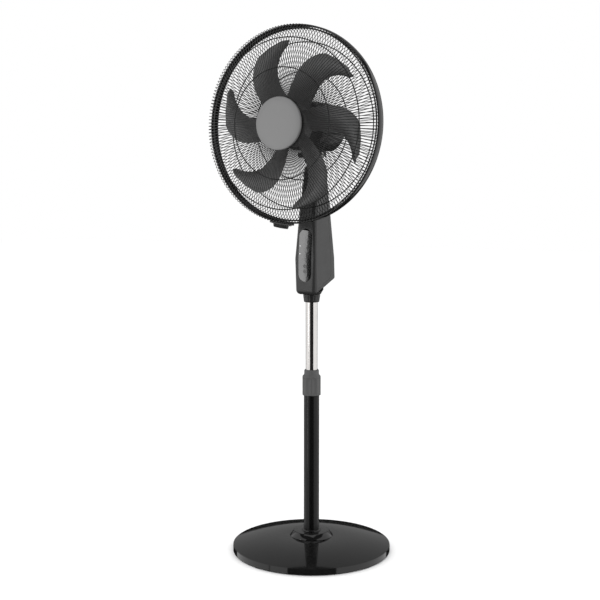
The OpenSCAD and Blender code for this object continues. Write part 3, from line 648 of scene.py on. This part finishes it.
def put(piece, spin, at):
    """Turns a piece about the origin and moves it to its place, both settled in its mesh."""
    alone(piece)
    piece.rotation_euler = spin
    piece.location = Vector(at) * mm
    bpy.ops.object.transform_apply(location=True, rotation=True, scale=True)
    return piece


shell_wall = 2.2
socket_room = 22.1
socket_top = foot_z + 18.6
housing = stretched_over_corners("housing", 0)
cut(housing, stretched_over_corners("hollow", shell_wall))
cut(housing, round_bar("socket_room", socket_room, foot_z - 5, socket_top, sides=96))
housing_back = copied(housing, "housing_back_half")
cut(housing_back, behind_seam("back_zone", 0.5), "INTERSECT")
housing_front = joined("housing_front_half", [housing])
cut(housing_front, behind_seam("back_zone", 0))
cut(housing_front, long_round("panel_room", panel_width + panel_gap, panel_height + panel_gap, -45, 0))
lug_room = begin("lug_room", bpy.ops.mesh.primitive_cube_add, size=1,
                 location=(0, 4 * mm, (neck_top + 2) * mm), scale=(26.6 * mm, 15.6 * mm, 44 * mm))
cut(housing_front, lug_room)
soften(housing_front, 0.45, 2, 50)
evened(housing_front)

forward = (math.pi / 2, 0, 0)
screw_hole = 1.6
gland_hole = 6
gland_z = heel_z + 14
screw_places = [(-9, knee_z + 4), (9, knee_z + 4), (0, neck_top - 30)]
cut(housing_back, round_bar("gland_hole", gland_hole, -10, 40, forward, (0, 66, gland_z)))
for x, z in screw_places:
    cut(housing_back, round_bar("screw_hole", screw_hole, -10, 15, forward, (x, back_at(z), z), 24))
soften(housing_back, 0.45, 2, 50)
evened(housing_back)
housing_charcoal = grained("housing_charcoal", 0.022, 0.34, grain=0.45, depth=0.015, specular=0.5)
paint(housing_front, housing_charcoal)
paint(housing_back, housing_charcoal)
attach(housing_front, "mast")
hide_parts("housing_front")
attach(housing_back, "mast")
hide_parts("housing_rear")

# ---- control panel ----
# A clear plastic window printed black on its back, so it is a dark mirror. It is let into the
# housing, with two round holes for the buttons and two pinholes for the indicator lights.
panel_front = -31.6
button_heights = [foot_z + 55.5, foot_z + 67.5]
light_heights = [foot_z + 96.5, foot_z + 115]
light_x = -14
button_hole = 4.2
light_hole = 1.5
glossy_panel = long_round("glossy_panel", panel_width, panel_height, -42, 0)
panel_skin = stretched_over_corners("panel_skin", 0.4)
cut(panel_skin, stretched_over_corners("panel_back", 2.0))
cut(glossy_panel, panel_skin, "INTERSECT")
for z in button_heights:
    cut(glossy_panel, round_bar("button_hole", button_hole, 0, 60, forward, (0, 5, z)))
for z in light_heights:
    cut(glossy_panel, round_bar("light_hole", light_hole, 0, 60, forward, (light_x, 5, z), 24))
soften(glossy_panel, 0.3, 3, 50)
evened(glossy_panel)
window_black = polished_black("window_black", 0.003, 0.02, 0.5, scuff=0.06)
paint(glossy_panel, window_black)
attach(glossy_panel, "mast")
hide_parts("control_panel")

# ---- push buttons ----
# Two small round buttons of grey plastic with dished tops. Each slides on a stem behind the
# panel and presses a switch on the circuit board.
button_rim = 4
button_grey = grained("button_grey_plastic", 0.11, 0.38, grain=0.8)
for name, body, z in (("mode_cap", "mode_button", button_heights[0]),
                      ("power_cap", "power_button", button_heights[1])):
    cap = turned(name, [
        (0, 0), (button_rim, 0), (button_rim, 3.1), (button_rim + 1, 3.1), (button_rim + 1, 4.2),
        (button_rim, 4.2), (button_rim, 7.1), (button_rim - 0.1, 7.5), (button_rim - 0.4, 7.8),
        (button_rim - 0.8, 7.7), (2, 7.3), (0, 7.2)], steps=48)
    put(cap, forward, (0, panel_front + 7, z))
    smooth(cap, 50)
    paint(cap, button_grey)
    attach(cap, body)
    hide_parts(body)

# ---- tilt joint ----
# A forked bracket of die-cast metal, painted black, straddles the lug of the housing. The bolt
# through both is tightened with a small fluted knob on the left. The bracket carries the motor.
swing_yoke = rounded_copy("tilt_bracket", "swing_yoke", 0.6)
paint(swing_yoke, satin_black)
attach(swing_yoke, "tilt_frame")
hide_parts("tilt_bracket")

knob_radius = 6.5
knob_flutes = 8
sideways = (0, math.pi / 2, 0)
knob_grip = turned("knob_grip", [
    (0, -38), (knob_radius - 1.2, -38), (knob_radius - 0.3, -37.6), (knob_radius, -36.8),
    (knob_radius, -36), (knob_radius, -35.5), (knob_radius, -29), (knob_radius, -28.4),
    (knob_radius, -27.4), (knob_radius - 0.4, -27), (knob_radius - 1, -26.8),
    (knob_radius - 1, -24.2), (4.1, -24.2), (4.1, -36), (0, -36)], steps=knob_flutes * 12)
flute(knob_grip, knob_flutes, knob_flutes * 12, 0.8, 4, -36.5, -28.8, 5.8)
put(knob_grip, sideways, (0, 4, tilt_z))
smooth(knob_grip, 60)
paint(knob_grip, satin_black)
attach(knob_grip, "tilt_knob")
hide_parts("tilt_knob")

# ---- motor cover ----
# Two black plastic shells closed round the motor, flat below where they turn over the bracket.
# The front one has the spigot that carries the guard; the rear one narrows and has a grille.
motor_radius = 60
motor_flat = 54
split = 22
motor_nose = 50
motor_tail = 78
wall = 2.5
on_head = (0, 0, head_z)


def flattened(piece, level):
    """Cuts off what is below a level and closes the cut."""
    alone(piece)
    bpy.ops.object.mode_set(mode="EDIT")
    bpy.ops.mesh.select_all(action="SELECT")
    bpy.ops.mesh.bisect(plane_co=(0, level * mm, 0), plane_no=(0, 1, 0), use_fill=True,
                        clear_inner=True)
    bpy.ops.object.mode_set(mode="OBJECT")
    return piece


nose_shell = flattened(turned("nose_shell", [
    (0, split + 0.2), (motor_radius, split + 0.2), (motor_radius, 44.5), (motor_radius - 0.6, 46.8),
    (motor_radius - 1.8, 48.6), (motor_radius - 4, 49.7), (motor_radius - 7, motor_nose),
    (17, motor_nose), (17, 63.4), (16.4, 64), (0, 64)], steps=120), -motor_flat)
cut(nose_shell, flattened(turned("nose_room", [
    (0, 10), (motor_radius - wall, 10), (motor_radius - wall, 45), (motor_radius - 6, 47.5),
    (0, 47.5)], steps=120), wall - motor_flat))
cut(nose_shell, round_bar("nose_bore", 10, 30, 80))
put(nose_shell, forward, on_head)
soften(nose_shell, 0.5, 2, 40)
motor_black = grained("motor_black", 0.010, 0.3, grain=0.6, depth=0.012, specular=0.5)
paint(nose_shell, motor_black)
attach(nose_shell, "head")
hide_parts("motor_front_cover")


def bowl(name, inset, mouth):
    """The inside or outside of the rear shell, as a solid."""
    back = inset - motor_tail
    side = motor_radius - inset
    return flattened(turned(name, [
        (0, back), (side - 17, back), (side - 14.6, back + 0.3), (side - 12.8, back + 1.1),
        (side - 11.4, back + 2.6), (side - 2.2, -motor_tail + 18), (side - 0.7, -motor_tail + 21.5),
        (side, -motor_tail + 25), (side, mouth), (0, mouth)], steps=120), inset - motor_flat)


tail_shell = bowl("tail_shell", 0, split)
cut(tail_shell, bowl("tail_room", wall, split + 5))
cut(tail_shell, round_bar("swing_hole", 20, 40, 62, (-math.pi / 2, 0, 0), (0, -100, -22)))
slots = [
    begin("slot", bpy.ops.mesh.primitive_cube_add, size=1,
          location=(0, 9 * row * mm, -motor_tail * mm), scale=(36 * mm, 3 * mm, 8 * mm))
    for row in range(-3, 4)]
cut(tail_shell, joined("slots", slots))
screw_circle = 42
for turn in (90, 210, 330):
    x = screw_circle * math.cos(math.radians(turn))
    y = screw_circle * math.sin(math.radians(turn))
    cut(tail_shell, round_bar("screw_hole", screw_hole, -90, -60, (0, 0, 0), (x, y, 0), 24))
put(tail_shell, forward, on_head)
soften(tail_shell, 0.4, 2, 40)
paint(tail_shell, motor_black)
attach(tail_shell, "head")
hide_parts("motor_rear_cover")

# ---- fan wheel ----
# Six swept blades and their hub, moulded together in dark grey plastic. Each blade starts wide
# at the hub, leans forward along its hollow edge and is pitched more steeply near its root.
wheel_radius = 190
hub_radius = 50
hub_back = 79.5
hub_front = 113.5
blade_forward = 95.5
blade_wall = 2.2
blade_camber = 5
root_pitch = 36
root_radius = hub_radius - 2
span_rows = 26
chord_cuts = 9
blades = 6


def full_edge(u):
    """Where the bulging edge of a blade is, in degrees, at a share of its length."""
    return 66 - 56 * u + 74 * u ** 2 - 61 * u ** 3 - 190 * max(0, u - 0.92)


def hollow_edge(u):
    """Where the hollow edge of a blade is, in degrees, at a share of its length."""
    return 12 + 43.5 * u - 53 * u ** 2 - 5.5 * u ** 3 + 60 * max(0, u - 0.93)


shares = [row / span_rows for row in range(span_rows + 1)]
blade = begin("blade", bpy.ops.mesh.primitive_grid_add, x_subdivisions=len(shares) - 1,
              y_subdivisions=chord_cuts, size=2 * mm)
for column in range(chord_cuts + 1):
    choose(blade, "VERT", lambda v: v.index // len(shares) == column)
    belly = blade_camber * math.sin(math.pi * column / chord_cuts)
    bpy.ops.transform.translate(value=(0, 0, belly * mm))
    bpy.ops.object.mode_set(mode="OBJECT")
for row, u in enumerate(shares):
    r = root_radius + (wheel_radius - root_radius) * u
    middle = math.radians(full_edge(u) + hollow_edge(u)) / 2
    half = math.radians(full_edge(u) - hollow_edge(u)) / 2
    rise = r * half * math.tan(math.radians(root_pitch * (1 - u)))
    reach = r * math.sin(half)
    choose(blade, "VERT", lambda v: v.index % len(shares) == row)
    bpy.ops.transform.resize(value=(0, math.hypot(reach, rise), 1), center_override=(0, 0, 0))
    bpy.ops.transform.rotate(value=-math.atan2(rise, reach), orient_axis="X",
                             center_override=(0, 0, 0))
    bpy.ops.transform.translate(value=(r * math.cos(half) * mm, 0, (blade_forward - 3) * mm))
    bpy.ops.transform.rotate(value=-middle, orient_axis="Z", center_override=(0, 0, 0))
    bpy.ops.object.mode_set(mode="OBJECT")
alone(blade)
thick = blade.modifiers.new("thick", "SOLIDIFY")
thick.thickness = blade_wall * mm
thick.offset = 0
bpy.ops.object.modifier_apply(modifier=thick.name)
soften(blade, 0.8, 3, 50)


def repeated(piece, count, start=0):
    """Turns a piece to where its row starts, and copies it round the axis."""
    put(piece, (0, 0, math.radians(start)), (0, 0, 0))
    alone(piece)
    bpy.ops.object.mode_set(mode="EDIT")
    bpy.ops.mesh.select_all(action="SELECT")
    bpy.ops.mesh.spin(steps=count - 1, dupli=True, angle=2 * math.pi * (count - 1) / count,
                      center=(0, 0, 0), axis=(0, 0, 1))
    bpy.ops.object.mode_set(mode="OBJECT")
    return piece


repeated(blade, blades, -30)
hub = turned("hub", [
    (4.1, hub_back + 2), (12, hub_back + 2), (12, hub_front - 2.5), (hub_radius - 2.5, hub_front - 5.5),
    (hub_radius - 2.5, hub_back), (hub_radius, hub_back), (hub_radius, hub_front - 7),
    (hub_radius - 0.7, hub_front - 4), (hub_radius - 2.4, hub_front - 1.7),
    (hub_radius - 5, hub_front - 0.4), (hub_radius - 8, hub_front), (4.1, hub_front),
    (4.1, hub_back + 2)], steps=120)
smooth(hub)
wheel = joined("blade_wheel", [blade, hub])
put(wheel, forward, on_head)


def moulded_blade(name, level, rough):
    """Glass-filled plastic with long flow marks from the hub and a silky surface."""
    f = Finish(name, Specular_IOR_Level=0.5)
    flow = f.noise(26, f.place((1, 1, 1), (0, 0, head_z * mm)), detail=4)
    specks = f.noise(0.5, detail=2)
    return f.send(
        Base_Color=f.tint(grey(level * 0.85), grey(level * 1.15), flow),
        Roughness=f.between(rough - 0.05, rough + 0.06, flow) + specks * 0.04,
        Normal=f.bump(specks * 0.5 + flow * 0.5, 0.02),
    )


paint(wheel, moulded_blade("blade_plastic", 0.085, 0.34))
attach(wheel, "blades")
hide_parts("fan_blade")

blade_cap = rounded_copy("blade_nut", "blade_cap", 0.3)
paint(blade_cap, satin_black)
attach(blade_cap, "blades")
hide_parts("blade_nut")

# ---- guards ----
# Two cages of spring-steel wire, spot welded to rings and dipped in black powder paint. Each
# has 180 wires from its centre to its edge. The band holds the front cage on the rear one.
wires = 180
wire_thick = 1.6
support_thick = 2.6
edge_thick = 3.4
edge_radius = 217.4
rear_edge = 78
front_edge = 91


def rounded_path(points, cuts):
    """A smooth curve through points, with some cuts between each two."""
    ends = [points[0], *points, points[-1]]
    path = []
    for a, b, c, d in zip(ends, ends[1:], ends[2:], ends[3:]):
        for cut_at in range(cuts):
            t = cut_at / cuts
            path.append([
                0.5 * (2 * q + (r - p) * t + (2 * p - 5 * q + 4 * r - s) * t * t
                       + (3 * q - p - 3 * r + s) * t ** 3)
                for p, q, r, s in zip(a, b, c, d)])
    return path + [list(points[-1])]


def bent_wire(name, path, thick):
    """A round wire along a path of (distance from the axis, distance forward)."""
    piece = begin(name, bpy.ops.mesh.primitive_plane_add, size=mm)
    bpy.ops.object.mode_set(mode="EDIT")
    draw([(r, 0, z) for r, z in path])
    bpy.ops.object.mode_set(mode="OBJECT")
    bpy.ops.object.convert(target="CURVE")
    line = bpy.context.object
    line.data.bevel_depth = thick / 2 * mm
    line.data.bevel_resolution = 1
    line.data.use_fill_caps = True
    bpy.ops.object.convert(target="MESH")
    return bpy.context.object


def hoop(name, radius, height, thick, steps=144):
    """A ring of round wire."""
    outline = [
        (radius + thick / 2 * math.cos(k * math.pi / 4), height + thick / 2 * math.sin(k * math.pi / 4))
        for k in range(9)]
    return turned(name, outline, steps)


def flat_ring(name, inner, outer, low, high):
    return turned(name, [(inner, low), (outer, low), (outer, high), (inner, high), (inner, low)], 96)


def powder_coated(name, level, rough, specular=0.5):
    """Powder paint: thick, softly pebbled and a little dusty."""
    f = Finish(name, Specular_IOR_Level=specular)
    pebble = f.noise(1.4, detail=1)
    cloud = f.noise(50, detail=3)
    return f.send(
        Base_Color=f.tint(grey(level), grey(level * 2), cloud),
        Roughness=f.between(rough - 0.05, rough + 0.08, cloud) + pebble * 0.05,
        Normal=f.bump(pebble, 0.02),
    )


wire_black = powder_coated("wire_black_powder", 0.006, 0.32)
rear_cage = joined("rear_cage", [
    repeated(bent_wire("rear_wire", rounded_path([
        (46, 52), (120, 50.6), (188, 53.6), (206, 59), (214, 66), (edge_radius, rear_edge)], 3),
        wire_thick), wires),
    hoop("rear_hoop", 123.8, 50.6 - 2, support_thick), hoop("rear_hoop", 190, 52, support_thick),
    hoop("rear_edge", edge_radius, rear_edge, edge_thick),
    flat_ring("rear_plate", 18, 47, 50.4, 52.4)])
put(rear_cage, forward, on_head)
smooth(rear_cage, 60)
paint(rear_cage, wire_black)
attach(rear_cage, "head")
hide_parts("rear_guard")

front_cage = joined("front_cage", [
    repeated(bent_wire("front_wire", rounded_path([
        (54, 140), (130, 139), (170, 133), (198, 122.5), (216, 111), (223.6, 102.5), (222, 97),
        (edge_radius, front_edge)], 2), wire_thick), wires, 1),
    hoop("front_hoop", 125, 137.4, support_thick), hoop("front_hoop", 192, 123.6, support_thick),
    hoop("front_edge", edge_radius, front_edge, edge_thick),
    flat_ring("front_plate", 47.5, 56.5, 138.6, 141.6)])
put(front_cage, forward, on_head)
smooth(front_cage, 60)
paint(front_cage, wire_black)
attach(front_cage, "head")
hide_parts("front_guard")

nut_flutes = 12
rear_nut = turned("rear_cage_nut", [
    (17.1, 52.9), (30.4, 52.9), (31, 53.5), (31, 54.6), (30.6, 56), (29.6, 58), (27.6, 61.4),
    (26.4, 62.4), (17.1, 62.4), (17.1, 52.9)], steps=nut_flutes * 10)
flute(rear_nut, nut_flutes, nut_flutes * 10, 1.6, 4, 53.2, 61.9, 24)
put(rear_nut, forward, on_head)
smooth(rear_nut, 60)
paint(rear_nut, satin_black)
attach(rear_nut, "head")
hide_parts("rear_guard_nut")

# ---- band round the guards ----
# A hoop of glossy black plastic with a rolled front edge, that closes over the rims of both
# guards. A clip at the bottom, held with one screw, keeps it shut.
ring_radius = 225
ring_inner = 221
ring_front = 93
ring_back = 68
cage_band = turned("cage_band", [
    (ring_inner, ring_back), (ring_radius - 3, ring_back), (ring_radius - 2.3, ring_back + 0.3),
    (ring_radius - 1.7, ring_back + 2.4), (ring_radius - 0.2, ring_back + 9.2),
    (ring_radius, ring_back + 11), (ring_radius, ring_front - 1.6),
    (ring_radius - 0.4, ring_front - 0.6), (ring_radius - 1.2, ring_front),
    (ring_inner + 0.5, ring_front), (ring_inner, ring_front - 0.5), (ring_inner, ring_back)],
    steps=256)
put(cage_band, forward, on_head)
smooth(cage_band, 50)
band_black = polished_black("band_black", 0.004, 0.08, 0.5)
paint(cage_band, band_black)
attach(cage_band, "head")
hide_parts("guard_ring")

band_clip = rounded_copy("guard_clip", "band_clip", 0.5)
paint(band_clip, satin_black)
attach(band_clip, "head")
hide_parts("guard_clip")

# ---- disc at the guard's centre ----
# A plain cap of aluminium-coloured plastic, snapped onto the middle of the front guard. Its face
# is nearly flat, satin painted, with a rolled edge.
disc_radius = 59.5
disc_back = 141.8
disc_front = 149
centre_disc = turned("centre_disc", [
    (0, disc_back), (disc_radius - 2, disc_back), (disc_radius - 0.3, disc_back + 0.8),
    (disc_radius, disc_back + 1.8), (disc_radius, disc_front - 2.8),
    (disc_radius - 0.3, disc_front - 1.8), (disc_radius - 1, disc_front - 1.1),
    (disc_radius - 2.2, disc_front - 0.7), (45, disc_front - 0.35), (25, disc_front - 0.1),
    (0, disc_front)], steps=144)
put(centre_disc, forward, on_head)
smooth(centre_disc, 30)


def satin_painted(name, level, rough, middle):
    """Satin metallic paint over moulded plastic, with the finest turning marks under it."""
    f = Finish(name, Metallic=0.35, Specular_IOR_Level=0.5)
    here = f.node("TexCoord", {}, {}, "Object")
    flake = f.noise(0.35, detail=1)
    cloud = f.noise(40, detail=3)
    reach = f.node("VectorMath", {"operation": "DISTANCE"}, {0: here, 1: middle}, 1)
    rings = f.node("Math", {"operation": "SINE"}, {0: reach * (2 * math.pi / (0.9 * mm))})
    return f.send(
        Base_Color=f.tint(grey(level * 0.95), grey(level * 1.06), cloud * 0.6 + flake * 0.4),
        Roughness=f.between(rough - 0.04, rough + 0.04, cloud) + flake * 0.05,
        Normal=f.bump(rings * 0.3 + flake, 0.002),
    )


badge_satin = satin_painted("badge_satin", 0.19, 0.38, (0, -disc_front * mm, head_z * mm))
paint(centre_disc, badge_satin)
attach(centre_disc, "head")
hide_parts("guard_badge")

# ---- inner works and fixings ----
# The parts that keep their plain made shape: the steel plate and feet, the clamp sleeve, the
# circuit board, the swing drive, and the motor with its bearings. Each gets its own finish.


def bare_metal(name, colour, rough, grain=1.5, stretch=(1, 1, 1), depth=0.004, metallic=1.0):
    """Bare or plated metal with tool marks and dull patches."""
    f = Finish(name, Metallic=metallic)
    marks = f.noise(grain, f.place(stretch), detail=3)
    dull = f.noise(14, detail=4)
    return f.send(
        Base_Color=f.tint(colour, [c * 0.72 for c in colour[:3]] + [1], dull),
        Roughness=f.between(rough - 0.06, rough + 0.12, dull) + marks * 0.08,
        Normal=f.bump(marks, depth),
    )


def banded(name, colour, dark, pitch, axis, rough, metallic):
    """Layers seen edge on, such as a pile of laminations or a coil of wire."""
    f = Finish(name, Metallic=metallic)
    wave = f.node("TexWave", {"bands_direction": axis}, {
        "Vector": f.place(), "Scale": 0.314 / (pitch * mm), "Distortion": 0.6, "Detail": 1.0})
    dull = f.noise(12, detail=3)
    return f.send(
        Base_Color=f.tint(dark, colour, wave * 0.7 + dull * 0.3),
        Roughness=f.between(rough, rough + 0.15, dull),
        Normal=f.bump(wave, 0.1),
    )


def circuit_board(name):
    """Green lacquer over copper tracks on glass cloth."""
    f = Finish(name, Specular_IOR_Level=0.5)
    weave = f.node("TexWave", {"bands_direction": "Z"}, {
        "Vector": f.place(), "Scale": 0.314 / (0.6 * mm), "Distortion": 0.3})
    tracks = f.noise(6, f.place((3, 1, 0.4)), detail=1) > 0.55
    return f.send(
        Base_Color=f.tint((0.012, 0.09, 0.035, 1), (0.03, 0.17, 0.06, 1), tracks),
        Roughness=f.between(0.3, 0.42, weave),
        Normal=f.bump(tracks, 0.04),
    )


def lit_lens(name):
    """A clear diffusing lens with a small lamp glowing behind it."""
    f = Finish(name, Emission_Strength=0.2)
    cloud = f.noise(1.2, detail=2)
    return f.send(
        Base_Color=f.tint(grey(0.6), grey(0.8), cloud),
        Roughness=f.between(0.15, 0.3, cloud),
        Emission_Color=f.tint(grey(0.7), grey(1.0), cloud),
    )


zinc = bare_metal("zinc_plate", (0.62, 0.62, 0.60, 1), 0.35)
ground = bare_metal("ground_steel_bar", (0.66, 0.66, 0.67, 1), 0.22, stretch=(1, 0.05, 1))
cast = bare_metal("cast_alloy", (0.52, 0.52, 0.53, 1), 0.48, grain=0.9, depth=0.03)
bronze = bare_metal("sintered_bronze", (0.56, 0.37, 0.18, 1), 0.4, grain=0.5, depth=0.02)
steel_plate = bare_metal("ballast_steel", (0.20, 0.19, 0.185, 1), 0.55, grain=4, depth=0.05)
rubber = grained("foot_rubber", 0.018, 0.75, grain=0.9, depth=0.05, specular=0.3)
nylon = grained("natural_nylon", 0.55, 0.45, grain=1.2, depth=0.02, warm=0.05)
laminations = banded(
    "steel_laminations", (0.34, 0.34, 0.35, 1), (0.10, 0.10, 0.11, 1), 0.8, "Y", 0.4, 0.9)
copper = banded(
    "lacquered_copper", (0.62, 0.25, 0.10, 1), (0.22, 0.07, 0.03, 1), 1.1, "Y", 0.3, 0.85)
plain_nodes = {
    "ballast_plate": (steel_plate, "ballast"), "rubber_feet": (rubber, "rubber"),
    "tube_foot": (steel_plate, "ballast"), "base_bolts": (zinc, "zinc_steel"),
    "clamp_sleeve": (nylon, "nylon"), "mast_stop": (nylon, "nylon"),
    "housing_screws": (zinc, "zinc_steel"), "cord_gland": (satin_black, "black_satin"),
    "control_board": (circuit_board("board_lacquer"), "board"),
    "board_switches": (cast, "die_cast"), "indicator_lights": (lit_lens("lamp_lens"), "lens"),
    "neck_lug": (satin_black, "black_satin"), "tilt_bolt": (zinc, "zinc_steel"),
    "swing_post": (ground, "ground_steel"), "swing_bush": (nylon, "nylon"),
    "swing_carrier": (cast, "die_cast"), "swing_motor": (cast, "die_cast"),
    "swing_crank": (nylon, "nylon"), "swing_link": (zinc, "zinc_steel"),
    "motor_cover_screws": (zinc, "zinc_steel"), "front_shield": (cast, "die_cast"),
    "rear_shield": (cast, "die_cast"), "stator_core": (laminations, "lamination"),
    "stator_windings": (copper, "copper"), "front_bearing": (bronze, "bronze"),
    "rear_bearing": (bronze, "bronze"), "rotor": (laminations, "lamination"),
    "motor_shaft": (ground, "ground_steel"), "drive_pin": (ground, "ground_steel"),
    "clip_screw": (zinc, "zinc_steel")}
for node_name, (material, slot_name) in plain_nodes.items():
    node = frame["nodes"][node_name]
    paint(node, material)

# ---- room ----
# A pale floor under plain white light. Curved lit walls to the left, the right and the rear, with
# narrow dark gaps between them, and a square lamp overhead are what the glossy parts mirror.
world = bpy.data.worlds.new("studio")
bpy.context.scene.world = world
world.use_nodes = True
air = world.node_tree
path = air.nodes.new("ShaderNodeLightPath")
sky = air.nodes["Background"]
sky.inputs["Color"].default_value = (1, 1, 1, 1)
seen_light = 1.0
mirrored_light = 0.02
soft_light = 1.16
in_mirror = air.nodes.new("ShaderNodeMix")
in_mirror.inputs[2].default_value = soft_light
in_mirror.inputs[3].default_value = mirrored_light
air.links.new(path.outputs["Is Glossy Ray"], in_mirror.inputs[0])
to_eye = air.nodes.new("ShaderNodeMix")
to_eye.inputs[3].default_value = seen_light
air.links.new(in_mirror.outputs[0], to_eye.inputs[2])
air.links.new(path.outputs["Is Camera Ray"], to_eye.inputs[0])
air.links.new(to_eye.outputs[0], sky.inputs["Strength"])

floor = begin("floor", bpy.ops.mesh.primitive_plane_add, size=30)
ground_white = Finish("floor_white", Specular_IOR_Level=0.0)
patches = ground_white.noise(900, detail=2)
paint(floor, ground_white.send(
    Base_Color=ground_white.tint(grey(0.86), grey(0.88), patches),
    Roughness=ground_white.between(0.8, 0.9, patches)))
floor.visible_glossy = False


def lit_wall(name, start, end, low, high, distance, strength):
    """A curved wall of light round the column: azimuths in degrees, heights and distance in m."""
    wall = begin(name, bpy.ops.mesh.primitive_plane_add, size=1)
    bpy.ops.object.mode_set(mode="EDIT")
    draw([(0, -distance / mm, low / mm), (0, -distance / mm, high / mm)])
    bpy.ops.mesh.select_all(action="SELECT")
    bpy.ops.mesh.spin(steps=max(2, round((end - start) / 3)), angle=math.radians(start - end),
                      center=(0, 0, 0), axis=(0, 0, 1))
    bpy.ops.object.mode_set(mode="OBJECT")
    put(wall, (0, 0, math.radians(start)), (0, 0, 0))
    glow = bpy.data.materials.new(name + "_glow")
    glow.use_nodes = True
    glow.node_tree.nodes.remove(glow.node_tree.nodes["Principled BSDF"])
    lamp = glow.node_tree.nodes.new("ShaderNodeEmission")
    lamp.inputs["Strength"].default_value = strength
    out = glow.node_tree.nodes["Material Output"]
    glow.node_tree.links.new(lamp.outputs[0], out.inputs["Surface"])
    wall.data.materials.append(glow)
    wall.visible_camera = False
    wall.visible_diffuse = False
    wall.visible_shadow = False
    return wall


lit_wall("left_wall", -105, -30.53, -1.2, 2.6, 2.4, 1.0)
lit_wall("left_strip", -33.5, -30.53, 0.2, 1.5, 2.3, 6.5)
lit_wall("near_left_wall", -29.3, -2.6, -1.2, 2.6, 2.4, 1.0)
lit_wall("right_wall", 65.4, 168, -1.2, 2.6, 2.4, 1.0)
lit_wall("far_wall", 168, 255, 0.3, 4.0, 3.2, 0.35)
bpy.ops.object.light_add(type="AREA", location=(0, 0, 3.6))
top_light = bpy.context.object
top_light.name = "top_light"
top_light.data.shape = "SQUARE"
top_light.data.size = 3.0
top_light.data.energy = 30
top_light.visible_camera = False

bpy.ops.object.camera_add(
    location=(1.2813, -2.1579, 0.8442),
    rotation=(math.radians(84.65), 0, math.radians(31.336)))
camera = bpy.context.object
camera.data.sensor_width = 36
camera.data.lens = 63.38
camera.data.clip_end = 60
bpy.context.scene.camera = camera
bpy.context.scene.view_settings.view_transform = "Standard"
